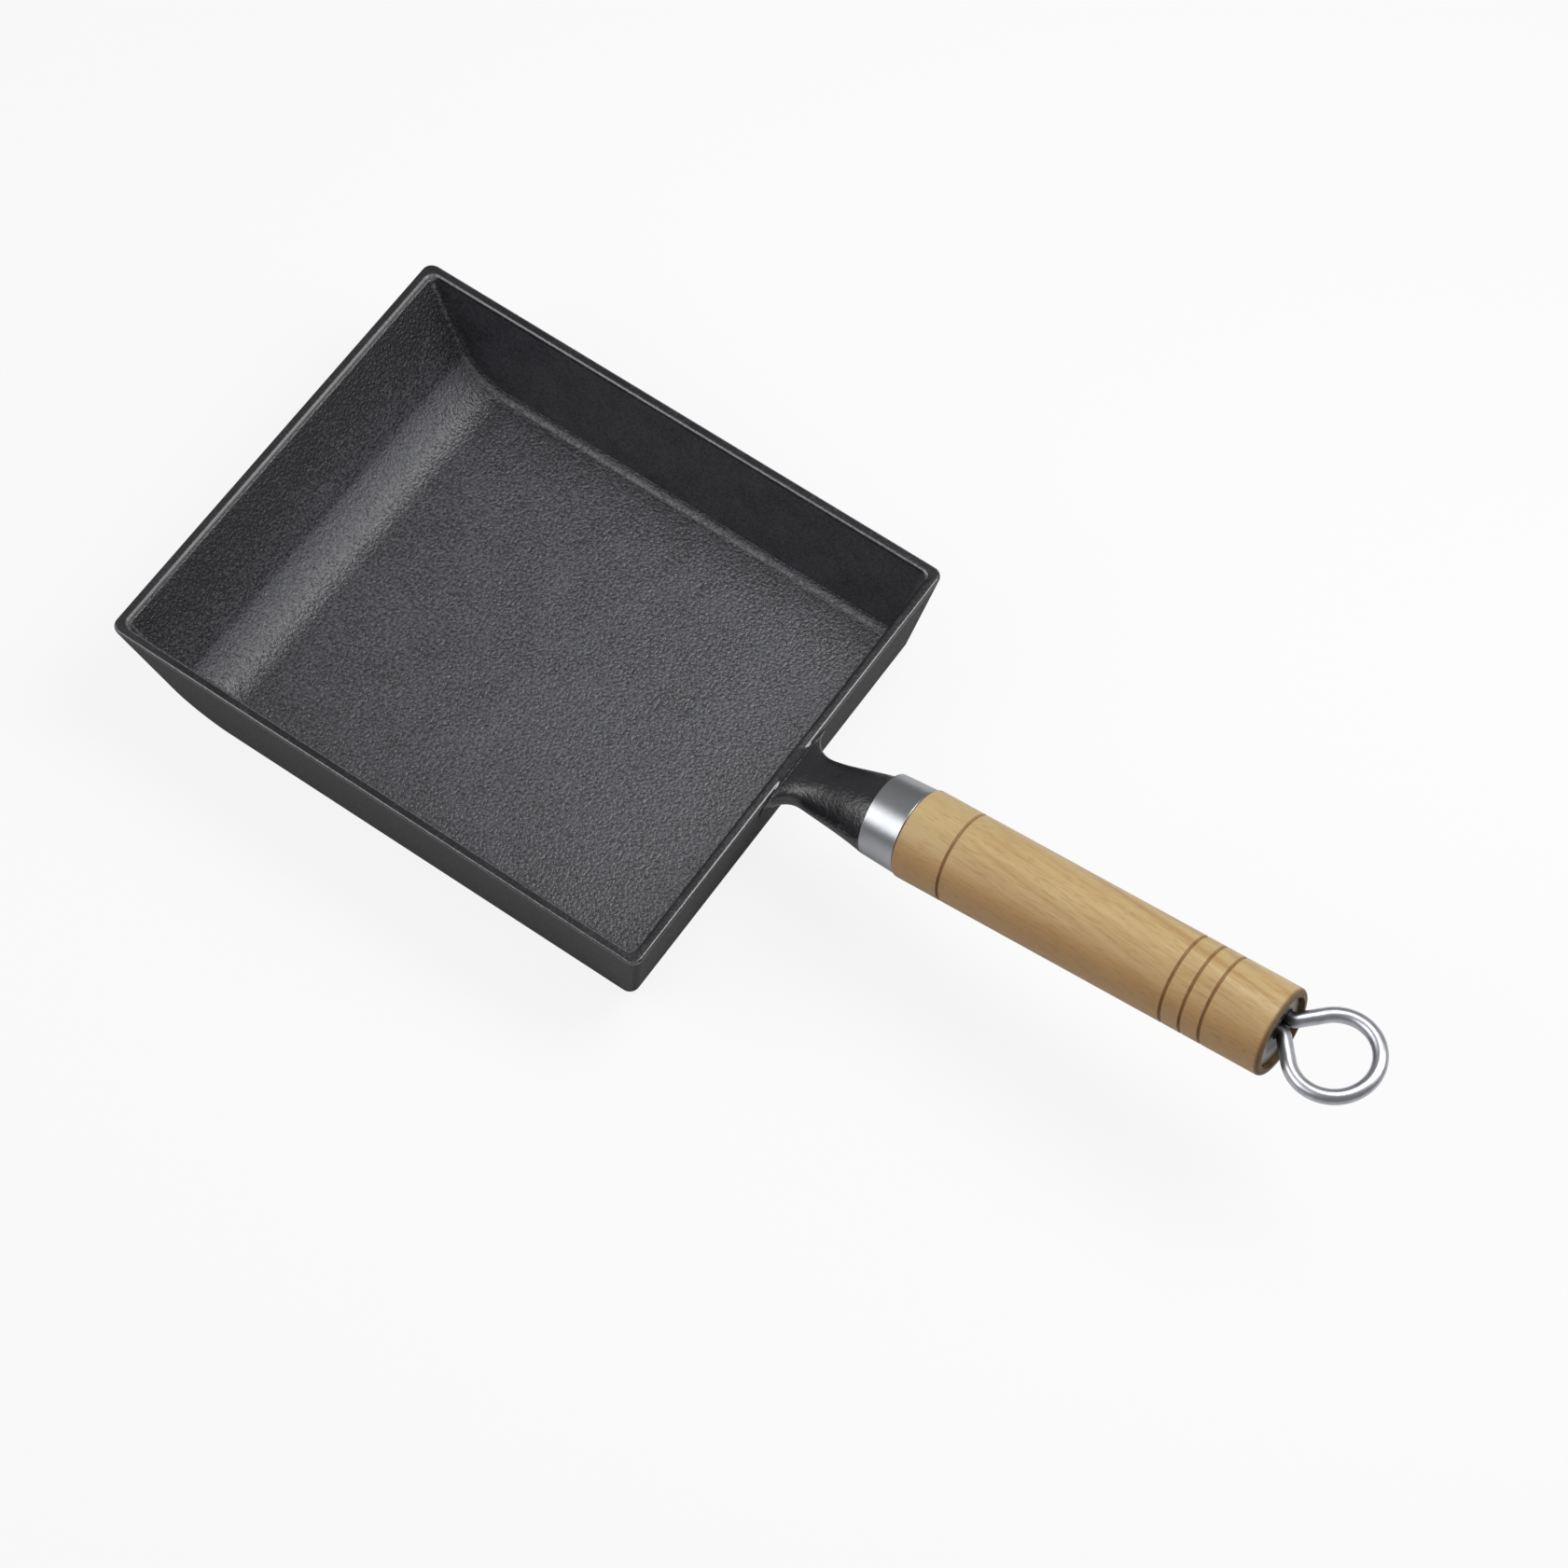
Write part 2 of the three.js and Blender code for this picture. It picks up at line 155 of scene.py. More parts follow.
class Bench:
    """Edit-mode work on one mesh through Blender's own operators."""

    def __init__(self, piece: bpy.types.Object) -> None:
        """Keeps the piece that lies on the bench."""
        self.piece = piece

    def __enter__(self) -> "Bench":
        """Opens the piece alone in edit mode.

        Returns:
            The bench itself.
        """
        pick_out(self.piece)
        bpy.ops.object.mode_set(mode="EDIT")
        return self

    def __exit__(self, *_: object) -> None:
        """Goes back to object mode."""
        bpy.ops.object.mode_set(mode="OBJECT")

    def select(self, kind: Kind, test: Callable[[Any], bool]) -> None:
        """Selects the elements that pass a test, and nothing else.

        Args:
            kind: what is selected.
            test: takes a bmesh element and says whether it is wanted.
        """
        bpy.ops.mesh.select_mode(type=kind.value)
        bpy.ops.mesh.select_all(action="DESELECT")
        mesh = bmesh.from_edit_mesh(self.piece.data)
        mesh.normal_update()
        for element in [element for element in getattr(mesh, kind.layer) if test(element)]:
            element.select_set(True)
        mesh.select_flush_mode()
        bmesh.update_edit_mesh(self.piece.data)

    def select_all(self) -> None:
        """Selects the whole mesh."""
        bpy.ops.mesh.select_mode(type=Kind.VERTICES.value)
        bpy.ops.mesh.select_all(action="SELECT")

    def move(self, step: Sequence[float]) -> None:
        """Moves the selection by a step."""
        bpy.ops.transform.translate(value=tuple(step))

    def round_off(self, offset: float, segments: int) -> None:
        """Bevels the selected edges to a round.

        Args:
            offset: how far the round reaches from the edge.
            segments: facets of the round.
        """
        bpy.ops.mesh.bevel(
            offset_type="OFFSET",
            offset=offset,
            segments=segments,
            profile=ROUND_BEVEL,
            affect="EDGES",
            clamp_overlap=False,
        )

    def extrude(self, step: Sequence[float]) -> None:
        """Extrudes the selection by a step and leaves the new end selected."""
        bpy.ops.mesh.extrude_region_move(TRANSFORM_OT_translate={"value": tuple(step)})

    def spin(self, angle: float, centre: Sequence[float], axis: Axis, steps: int) -> None:
        """Sweeps the selection round an axis, right-handed, and leaves the new end selected."""
        bpy.ops.mesh.spin(steps=steps, angle=-angle, center=tuple(centre), axis=axis.value)

    def close_up(self) -> None:
        """Merges doubles and turns every face outwards."""
        self.select_all()
        bpy.ops.mesh.remove_doubles(threshold=MERGE_DISTANCE)
        bpy.ops.mesh.normals_make_consistent(inside=False)


def apply_modifier(piece: bpy.types.Object, kind: str, **settings: object) -> None:
    """Adds a modifier with its settings and applies it.

    Args:
        piece: the mesh object.
        kind: the modifier's type.
        settings: values of the modifier's own properties.
    """
    modifier = piece.modifiers.new(kind.lower(), kind)
    for name, value in settings.items():
        setattr(modifier, name, value)
    pick_out(piece)
    bpy.ops.object.modifier_apply(modifier=modifier.name)


@dataclass(frozen=True)
class Noise:
    """A soft noise about 0.5: features to a metre along and across, finer layers and their strength."""

    along: float
    across: float
    detail: float = 2.0
    rough: float = 0.5

    @classmethod
    def even(cls, per_metre: float, detail: float, rough: float = 0.5) -> "Noise":
        """A noise with features of one size in every direction."""
        return cls(per_metre, per_metre, detail, rough)


class Socket:
    """One output of a node, with Python's operators for maths on values."""

    def __init__(self, tree: "NodeTree", source: bpy.types.NodeSocket | None) -> None:
        """Wraps a socket of a node tree, or nothing for a node that has no output."""
        self.tree = tree
        self.source = source

    def maths(self, operation: str, *values: "Socket | float") -> "Socket":
        """One Math node on values, the first of them usually this socket."""
        return self.tree.node("ShaderNodeMath", {"operation": operation}, dict(enumerate(values)))

    def __add__(self, other: "Socket | float") -> "Socket":
        """Sum."""
        return self.maths("ADD", self, other)

    __radd__ = __add__

    def __sub__(self, other: "Socket | float") -> "Socket":
        """Difference."""
        return self.maths("SUBTRACT", self, other)

    def __rsub__(self, other: float) -> "Socket":
        """Difference from a number."""
        return self.maths("SUBTRACT", other, self)

    def __mul__(self, other: "Socket | float") -> "Socket":
        """Product."""
        return self.maths("MULTIPLY", self, other)

    __rmul__ = __mul__

    def __truediv__(self, other: "Socket | float") -> "Socket":
        """Quotient."""
        return self.maths("DIVIDE", self, other)

    def __abs__(self) -> "Socket":
        """Value without its sign."""
        return self.maths("ABSOLUTE", self)

    def at_least(self, other: "Socket | float") -> "Socket":
        """The larger of two values."""
        return self.maths("MAXIMUM", self, other)

    def between(self, low: float, high: float) -> "Socket":
        """This value from 0 to 1 laid out from low to high."""
        return self * (high - low) + low

    def mixed_with(self, other: "Socket", share: float) -> "Socket":
        """This value by its share and another by the rest."""
        return self * share + other * (1 - share)

    def ramp(self, low: float, high: float) -> "Socket":
        """A smooth ramp of this value.

        Args:
            low: where the ramp is 0.
            high: where the ramp is 1; it may be the smaller one.

        Returns:
            The ramp, held at 0 and 1 beyond its ends.
        """
        first, last = (0.0, 1.0) if low < high else (1.0, 0.0)
        limits = {"From Min": min(low, high), "From Max": max(low, high), "To Min": first, "To Max": last}
        smooth = {"interpolation_type": "SMOOTHSTEP"}
        return self.tree.node("ShaderNodeMapRange", smooth, {"Value": self, **limits})


class NodeTree:
    """A material's or a sky's nodes: one method adds any node, and a few name the common ones."""

    # A Mix node repeats the names of its sockets for each type, so those for colour go by number
    MIX_SHARE, MIX_LOW, MIX_HIGH, MIX_RESULT = 0, 6, 7, 2

    def __init__(self, owner: bpy.types.Material | bpy.types.World) -> None:
        """Empties the nodes of a new material or world.

        Args:
            owner: the material or world.
        """
        self.owner = owner
        owner.use_nodes = True
        self.nodes = owner.node_tree.nodes
        self.links = owner.node_tree.links
        self.nodes.clear()

    @classmethod
    def of_material(cls, name: str) -> "NodeTree":
        """The nodes of a new material of that name."""
        return cls(bpy.data.materials.new(name))

    def node(
        self,
        kind: str,
        settings: dict[str, Any] | None = None,
        sockets: dict[str | int, Any] | None = None,
        output: str | int = 0,
    ) -> Socket:
        """Adds a node.

        Args:
            kind: the node's type.
            settings: its own properties, set first.
            sockets: values or links of its inputs, by name or number.
            output: which of its outputs is wanted.

        Returns:
            The wanted output.
        """
        made = self.nodes.new(kind)
        for name, value in (settings or {}).items():
            setattr(made, name, value)
        for name, value in (sockets or {}).items():
            if isinstance(value, Socket):
                self.links.new(value.source, made.inputs[name])
            else:
                made.inputs[name].default_value = value
        return Socket(self, made.outputs[output] if made.outputs else None)

    def place(self) -> Socket:
        """The point on the piece, in metres in the CAD frame."""
        return self.node("ShaderNodeTexCoord", output="Object")

    def facing(self) -> Socket:
        """The surface's direction in the CAD frame."""
        return self.node("ShaderNodeTexCoord", output="Normal")

    def parts_of(self, vector: Socket) -> list[Socket]:
        """The X, Y and Z of a vector."""
        split = self.node("ShaderNodeSeparateXYZ", sockets={0: vector})
        return [Socket(self, output) for output in split.source.node.outputs]

    def stretched(self, vector: Socket, scale: Sequence[float]) -> Socket:
        """A vector multiplied by a different number on each axis."""
        return self.node("ShaderNodeVectorMath", {"operation": "MULTIPLY"}, {0: vector, 1: tuple(scale)})

    def off_axis(self, vector: Socket) -> Socket:
        """A point's distance from the X axis."""
        spread = self.stretched(vector, (0, 1, 1))
        return self.node("ShaderNodeVectorMath", {"operation": "LENGTH"}, {0: spread}, output="Value")

    def noise(self, vector: Socket, kind: Noise) -> Socket:
        """A soft noise in space.

        Args:
            vector: the place, in metres.
            kind: what the noise is like.

        Returns:
            A value about 0.5.
        """
        spread = self.stretched(vector, (kind.along, kind.across, kind.across))
        layers = {"Detail": kind.detail, "Roughness": kind.rough}
        return self.node("ShaderNodeTexNoise", sockets={"Vector": spread, "Scale": 1.0, **layers})

    def bands(self, position: Socket) -> Socket:
        """A soft noise along one value, with bands about 1 wide."""
        line = {"W": position, "Scale": 1.0, "Detail": 2.0}
        return self.node("ShaderNodeTexNoise", {"noise_dimensions": "1D"}, line)

    def blend(self, share: Socket, low: Socket | Colour, high: Socket | Colour) -> Socket:
        """A colour between two.

        Args:
            share: 0 for the first colour, 1 for the second.
            low: the first colour.
            high: the second colour.

        Returns:
            The mixed colour.
        """
        sockets = {self.MIX_SHARE: share}
        for number, colour in ((self.MIX_LOW, low), (self.MIX_HIGH, high)):
            sockets[number] = colour if isinstance(colour, Socket) else (*colour, 1.0)
        return self.node("ShaderNodeMix", {"data_type": "RGBA"}, sockets, output=self.MIX_RESULT)

    def bump(self, height: Socket, distance: float, strength: float = 1.0) -> Socket:
        """A Normal from a height that runs from 0 to 1 and stands for a distance in metres."""
        relief = {"Height": height, "Distance": distance, "Strength": strength}
        return self.node("ShaderNodeBump", sockets=relief, output="Normal")

    def finish(self, sockets: dict[str, Any]) -> bpy.types.Material:
        """Puts a Principled shader on the surface.

        Args:
            sockets: values or links of the shader's inputs.

        Returns:
            The finished material.
        """
        shader = self.node("ShaderNodeBsdfPrincipled", sockets=sockets)
        self.node("ShaderNodeOutputMaterial", sockets={"Surface": shader})
        return self.owner


class Finish(Protocol):
    """What a piece's surface is made of."""

    def material(self) -> bpy.types.Material:
        """The finish as a material."""


class Piece:
    """A piece of the pan that is built in its place, dressed and carried by a CAD body."""

    name: ClassVar[str]
    body: ClassVar[str]
    node: ClassVar[str]
    slot: ClassVar[str]
    sharp: ClassVar[float]

    def mesh(self) -> bpy.types.Object:
        """The piece's mesh object, in its place."""
        raise NotImplementedError

    def build(self) -> bpy.types.Object:
        """The piece named and shaded smooth between its sharp edges, with flat faces kept flat.

        Returns:
            The finished mesh object.
        """
        piece = self.mesh()
        piece.name = self.name
        piece.data.name = self.name
        pick_out(piece)
        bpy.ops.object.shade_smooth_by_angle(angle=self.sharp)
        apply_modifier(piece, "WEIGHTED_NORMAL", mode="FACE_AREA", keep_sharp=True)
        return piece

    def dress(self, finish: Finish) -> None:
        """Builds the piece and gives it its finish and its place in the frame.

        Args:
            finish: what its surface is made of.
        """
        piece = self.build()
        piece.data.materials.clear()
        piece.data.materials.append(finish.material())
        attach(piece, self.body)
        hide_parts(self.node)
        LOG.info("%s: %d faces on body %s", piece.name, len(piece.data.polygons), self.body)


@dataclass(frozen=True)
class HandleLine:
    """The line that the handle's pieces are turned about, and the places along it."""

    start: Vector = field(default_factory=lambda: Vector((90.2 * MM, 0, 40.6 * MM)))
    tilt: float = math.radians(8)
    neck_end: float = 29.4 * MM
    tang_end: float = 51.4 * MM
    ferrule_front: float = 29.7 * MM
    ferrule_back: float = 41.2 * MM
    shoulder: float = 41.3 * MM
    butt: float = 156.3 * MM
    recess_floor: float = 153.0 * MM
    washer_front: float = 153.3 * MM
    washer_back: float = 154.8 * MM
    tail_tip: float = 147.3 * MM
    tail_well_floor: float = 144.0 * MM
    rod_hole_floor: float = 35.4 * MM
    rod_tip: float = 36.9 * MM
    rod_hole_radius: float = 2.45 * MM
    tang_radius: float = 6 * MM
    leg_pitch: float = 4.7 * MM
    gap: float = 0.3 * MM

    def matrix(self) -> Matrix:
        """Takes a piece from its own line along +X to its place on the pan."""
        return Matrix.Translation(self.start) @ Matrix.Rotation(-self.tilt, 4, "Y")

    def point(self, along: float, drop: float = 0.0) -> Vector:
        """A point in the CAD frame at a distance along the line and a drop below it."""
        return self.matrix() @ Vector((along, 0, -drop))

    def settle(self, piece: bpy.types.Object) -> None:
        """Puts a piece that was made along +X in its place and applies the move.

        Args:
            piece: the mesh object.
        """
        piece.matrix_world = self.matrix()
        pick_out(piece)
        bpy.ops.object.transform_apply(location=True, rotation=True, scale=True)

    def own_place(self, tree: NodeTree) -> Socket:
        """The point on a piece of the handle, measured along the line and across it."""
        turn = {"Vector": tree.place(), "Location": tuple(self.start), "Rotation": (0, -self.tilt, 0)}
        return tree.node("ShaderNodeMapping", {"vector_type": "TEXTURE"}, turn)


def turned(profile: Sequence[ProfilePoint], steps: int) -> bpy.types.Object:
    """Draws a closed half profile by extruding one vertex and spins it about +X.

    Args:
        profile: points as (place along the line, radius).
        steps: facets round the piece.

    Returns:
        The closed mesh object.
    """
    pick_out_none()
    bpy.ops.mesh.primitive_plane_add(size=MM, location=(0, 0, 0))
    piece = bpy.context.object
    points = [Vector((along, 0, radius)) for along, radius in profile]
    ends = (points[0], points[-1])
    with Bench(piece) as bench:
        bench.select_all()
        bpy.ops.mesh.merge(type="CENTER")
        bench.move(points[0])
        for previous, point in zip(points, points[1:]):
            bench.extrude(point - previous)
        bench.select(
            Kind.VERTICES, lambda vertex: any((vertex.co - end).length < SAME_PLACE for end in ends)
        )
        bpy.ops.mesh.edge_face_add()
        bench.select_all()
        bench.spin(FULL_TURN, (0, 0, 0), Axis.X, steps)
        bench.close_up()
    return piece


def round_corner(end: End, face: float, radius: float, edge: float, steps: int) -> list[ProfilePoint]:
    """Profile points of a rounded outer edge, from the side of a turned piece to its end face.

    Args:
        end: the end that is rounded.
        face: place of the end face.
        radius: radius of the side.
        edge: radius of the rounded edge.
        steps: segments of the round.

    Returns:
        Points from the side to the end face.
    """
    turns = [share * QUARTER_TURN for share in fractions(steps)]
    return [
        (face + end.value * edge * (1 - math.sin(turn)), radius - edge * (1 - math.cos(turn)))
        for turn in turns
    ]


def level_with(edge: bmesh.types.BMEdge, height: float) -> bool:
    """Whether an edge lies at a height."""
    return all(abs(vertex.co.z - height) < NEAR for vertex in edge.verts)


def stands_at(edge: bmesh.types.BMEdge, place: float) -> bool:
    """Whether an edge lies at a place along X."""
    return all(abs(vertex.co.x - place) < NEAR for vertex in edge.verts)


def beside_side_wall(edge: bmesh.types.BMEdge) -> bool:
    """Whether an edge borders one of the two long side walls."""
    return any(abs(face.normal.y) > FACING for face in edge.link_faces)


def beside_wall(edge: bmesh.types.BMEdge) -> bool:
    """Whether an edge borders a face that doesn't face upwards."""
    return any(face.normal.z < FACING for face in edge.link_faces)


@dataclass
class PanCasting(Piece):
    """Pan, neck and tang, one iron casting."""

    name: ClassVar[str] = "cast_pan"
    body: ClassVar[str] = "pan"
    node: ClassVar[str] = "pan_casting"
    slot: ClassVar[str] = "iron"
    sharp: ClassVar[float] = math.radians(32)

    line: HandleLine
    length: float = 180.4 * MM
    width: float = 147.5 * MM
    height: float = 40 * MM
    floor: float = 4.6 * MM
    wall: float = 3.2 * MM
    side_draft: float = math.radians(8.5)
    handle_draft: float = math.radians(10)
    front_draft: float = math.radians(26.5)
    sweep: float = 18 * MM
    floor_fillet: float = 2.5 * MM
    outer_edge: float = 3.0 * MM
    rim_edge: float = 0.74 * MM
    rim_bevel: float = 1.1 * MM
    neck_waist: float = 14.4 * MM
    neck_root_depth: float = 11.5 * MM
    neck_root_drop: float = 3.6 * MM
    neck_top_step: float = -0.22 * MM
    neck_sink: float = 0.1 * MM
    neck_bite: float = 1.15 * MM
    neck_fillet: float = 8 * MM
    neck_end_width: float = 23.6 * MM
    neck_end_depth: float = 21 * MM
    neck_end_drop: float = 1.5 * MM
    neck_swell: float = 1.3
    neck_deepening: float = 1.3
    neck_crown: float = 0.7
    neck_bunching: float = 1.6
    neck_flat_share: float = 0.45
    neck_squareness: float = 2.8
    corner_segments: int = 8
    sweep_segments: int = 28
    rim_segments: int = 6
    neck_sides: int = 64
    neck_steps: int = 30

    def shell(self, flat: float, inset: float, sweep: float, corner: float) -> bpy.types.Object:
        """One drafted skin of the pan, the outside or the inside, open at the top.

        Args:
            flat: height of its flat bottom.
            inset: how far it stands inside the outer wall.
            sweep: radius of the long curve between the bottom and the front wall.
            corner: bevel of the corners and of the other bottom edges.

        Returns:
            The open mesh object.
        """
        depth = self.height - flat
        middle = flat + depth / 2
        drafts = (self.front_draft, self.handle_draft, self.side_draft)
        halves = (self.length / 2, self.length / 2, self.width / 2)
        front, back, side = (
            half - inset + self.rim_edge * math.tan(draft) for half, draft in zip(halves, drafts)
        )
        front_draw, back_draw, side_draw = (depth * math.tan(draft) for draft in drafts)
        pick_out_none()
        bpy.ops.mesh.primitive_cube_add(
            size=1,
            location=((back - front) / 2, 0, middle),
            scale=(front + back, 2 * side, depth),
        )
        piece = bpy.context.object
        bpy.ops.object.transform_apply(location=True, rotation=True, scale=True)
        draws = (
            (Vector((1, 0, 0)), front_draw),
            (Vector((-1, 0, 0)), back_draw),
            (Vector((0, 1, 0)), side_draw),
            (Vector((0, -1, 0)), side_draw),
        )
        with Bench(piece) as bench:
            for inward, draw in draws:
                bench.select(
                    Kind.VERTICES, lambda vertex: vertex.co.z < middle and vertex.co.dot(inward) < 0
                )
                bench.move(inward * draw)
            bench.select(
                Kind.EDGES, lambda edge: level_with(edge, flat) and stands_at(edge, front_draw - front)
            )
            bench.round_off(sweep * math.tan((QUARTER_TURN - self.front_draft) / 2), self.sweep_segments)
            bench.select(
                Kind.EDGES,
                lambda edge: (beside_side_wall(edge) and not level_with(edge, self.height))
                or (level_with(edge, flat) and stands_at(edge, back - back_draw)),
            )
            bench.round_off(corner, self.corner_segments)
            bench.select(
                Kind.FACES,
                lambda face: face.normal.z > FACING
                and abs(face.calc_center_median().z - self.height) < NEAR,
            )
            bpy.ops.mesh.delete(type="FACE")
        return piece

    def shells(self) -> bpy.types.Object:
        """The pan without its neck: two skins bridged at the rim and rounded there.

        Returns:
            The closed mesh object.
        """
        outside = self.shell(0, 0, self.sweep + self.wall, self.outer_edge)
        inside = self.shell(self.floor, self.wall, self.sweep, self.floor_fillet)
        with Bench(inside) as bench:
            bench.select(Kind.EDGES, lambda edge: edge.is_boundary)
            bench.move((0, 0, self.height))
        pick_out(outside, inside)
        bpy.ops.object.join()
        with Bench(outside) as bench:
            bench.select(Kind.EDGES, lambda edge: edge.is_boundary)
            bpy.ops.mesh.bridge_edge_loops()
            bench.select(Kind.VERTICES, lambda vertex: vertex.co.z > self.height + NEAR)
            bench.move((0, 0, -self.height))
            bench.close_up()
            bench.select(Kind.EDGES, lambda edge: level_with(edge, self.height) and beside_wall(edge))
            bench.round_off(self.rim_bevel, self.rim_segments)
            bench.close_up()
        return outside

    def neck_rings(self) -> Iterator[list[Vector]]:
        """The neck's sections from inside the wall to the ferrule, then the tang and the rod's hole.

        Yields:
            The points of each ring, in the order of their angle.
        """
        line = self.line
        root = Vector((self.length / 2, 0, self.height - self.neck_root_drop))
        end = line.point(line.neck_end, self.neck_end_drop)
        third = line.neck_end / 3
        handles = (root + Vector((third, 0, 0)), line.point(line.neck_end - third, self.neck_end_drop))
        root_above = self.neck_root_drop - self.neck_top_step
        root_below = self.neck_root_depth - self.neck_root_drop
        for index, share in enumerate([0.0, *fractions(self.neck_steps)]):
            buried = index == 0
            along = share**self.neck_bunching
            inside = max(0.0, self.neck_fillet - along * line.neck_end)
            flare = self.neck_fillet - math.sqrt(self.neck_fillet**2 - inside**2)
            centre = bezier(root, *handles, end, along)
            # The first ring is hidden in the wall, its top further in so that the neck covers the rim
            if buried:
                centre = centre - Vector((self.wall / 2, 0, self.neck_sink))
            ring = self.section(
                centre,
                lean=lerp(self.handle_draft, -line.tilt, smoothstep(along, 0, 1)),
                half=lerp(self.neck_waist, self.neck_end_width, along**self.neck_swell) / 2 + flare,
                above=lerp(root_above, self.neck_end_depth / 2, along**self.neck_crown),
                below=lerp(root_below, self.neck_end_depth / 2, along**self.neck_deepening) + flare,
                squareness=lerp(self.neck_squareness, ROUND, smoothstep(along, 0, self.neck_flat_share)),
            )
            if buried:
                bite = Vector((self.neck_bite, 0, 0))
                ring = [point - bite if point.z > centre.z else point for point in ring]
            yield ring
        for along, radius in (
            (line.neck_end, line.tang_radius),
            (line.tang_end, line.tang_radius),
            (line.tang_end, line.rod_hole_radius),
            (line.rod_hole_floor, line.rod_hole_radius),
        ):
            yield self.section(line.point(along), -line.tilt, radius, radius, radius, ROUND)

    def section(
        self, centre: Vector, lean: float, half: float, above: float, below: float, squareness: float
    ) -> list[Vector]:
        """One ring of the neck.

        Args:
            centre: the point that its width and heights are measured from.
            lean: how far its plane leans towards the handle.
            half: half its width.
            above: its height above the centre.
            below: its depth below the centre.
            squareness: power of its upper half, an ellipse at 2 and flatter on top above that.

        Returns:
            Its points in the order of their angle.
        """
        up = Vector((math.sin(lean), 0, math.cos(lean)))
        ring = []
        for share in fractions(self.neck_sides)[:-1]:
            angle = share * FULL_TURN
            power = ROUND / squareness if angle < math.pi else 1.0
            across = math.copysign(abs(math.cos(angle)) ** power, math.cos(angle))
            rise = math.copysign(abs(math.sin(angle)) ** power, math.sin(angle))
            reach = above if rise > 0 else below
            ring.append(centre + up * rise * reach + Vector((0, half * across, 0)))
        return ring

    def neck(self) -> bpy.types.Object:
        """Neck and tang, extruded from ring to ring.

        Returns:
            The closed mesh object.
        """
        rings = list(self.neck_rings())
        pick_out_none()
        bpy.ops.mesh.primitive_circle_add(vertices=self.neck_sides, radius=MM, fill_type="NGON")
        piece = bpy.context.object
        with Bench(piece) as bench:
            mesh = bmesh.from_edit_mesh(piece.data)
            ordered = sorted(
                mesh.verts, key=lambda vertex: math.atan2(vertex.co.y, vertex.co.x) % FULL_TURN
            )
            for vertex, point in zip(ordered, rings[0]):
                vertex.co = point
            bmesh.update_edit_mesh(piece.data)
            bench.select_all()
            for ring, following in zip(rings, rings[1:]):
                bench.extrude((0, 0, 0))
                mesh = bmesh.from_edit_mesh(piece.data)
                fresh = [vertex for vertex in mesh.verts if vertex.select]
                for point, target in zip(ring, following):
                    nearest = min(fresh, key=lambda vertex: (vertex.co - point).length_squared)
                    fresh.remove(nearest)
                    nearest.co = target
                bmesh.update_edit_mesh(piece.data)
            bench.close_up()
        return piece

    def mesh(self) -> bpy.types.Object:
        """The whole casting, the neck joined to the pan as one solid.

        Returns:
            The mesh object.
        """
        piece = self.shells()
        neck = self.neck()
        apply_modifier(piece, "BOOLEAN", operation="UNION", solver="EXACT", object=neck)
        bpy.data.objects.remove(neck)
        return piece


@dataclass
class Ferrule(Piece):
    """Drawn steel cup between the neck and the grip."""

    name: ClassVar[str] = "steel_ferrule"
    body: ClassVar[str] = "pan"
    node: ClassVar[str] = "ferrule"
    slot: ClassVar[str] = "ferrule_steel"
    sharp: ClassVar[float] = math.radians(40)

    line: HandleLine
    front_radius: float = 12.2 * MM
    back_radius: float = 12.75 * MM
    thickness: float = 0.9 * MM
    lip: float = 0.5 * MM
    steps: int = 128
    lip_steps: int = 4

    def radius(self, along: float) -> float:
        """Outer radius at a place along the handle."""
        share = (along - self.line.ferrule_front) / (self.line.ferrule_back - self.line.ferrule_front)
        return lerp(self.front_radius, self.back_radius, share)

    def mesh(self) -> bpy.types.Object:
        """The cup, with a rounded front lip and a hole for the tang.

        Returns:
            The mesh object.
        """
        front, back = self.line.ferrule_front, self.line.ferrule_back
        hole = self.line.tang_radius + self.line.gap
        lip = round_corner(End.FRONT, front, self.radius(front + self.lip), self.lip, self.lip_steps)
        mouth = round_corner(End.BACK, back, self.radius(back), self.lip / 2, self.lip_steps)
        piece = turned(
            [
                (front, hole),
                *reversed(lip),
                *mouth,
                (back, self.radius(back) - self.thickness),
                (front + self.thickness, self.radius(front) - self.thickness),
                (front + self.thickness, hole),
            ],
            self.steps,
        )
        self.line.settle(piece)
        return piece


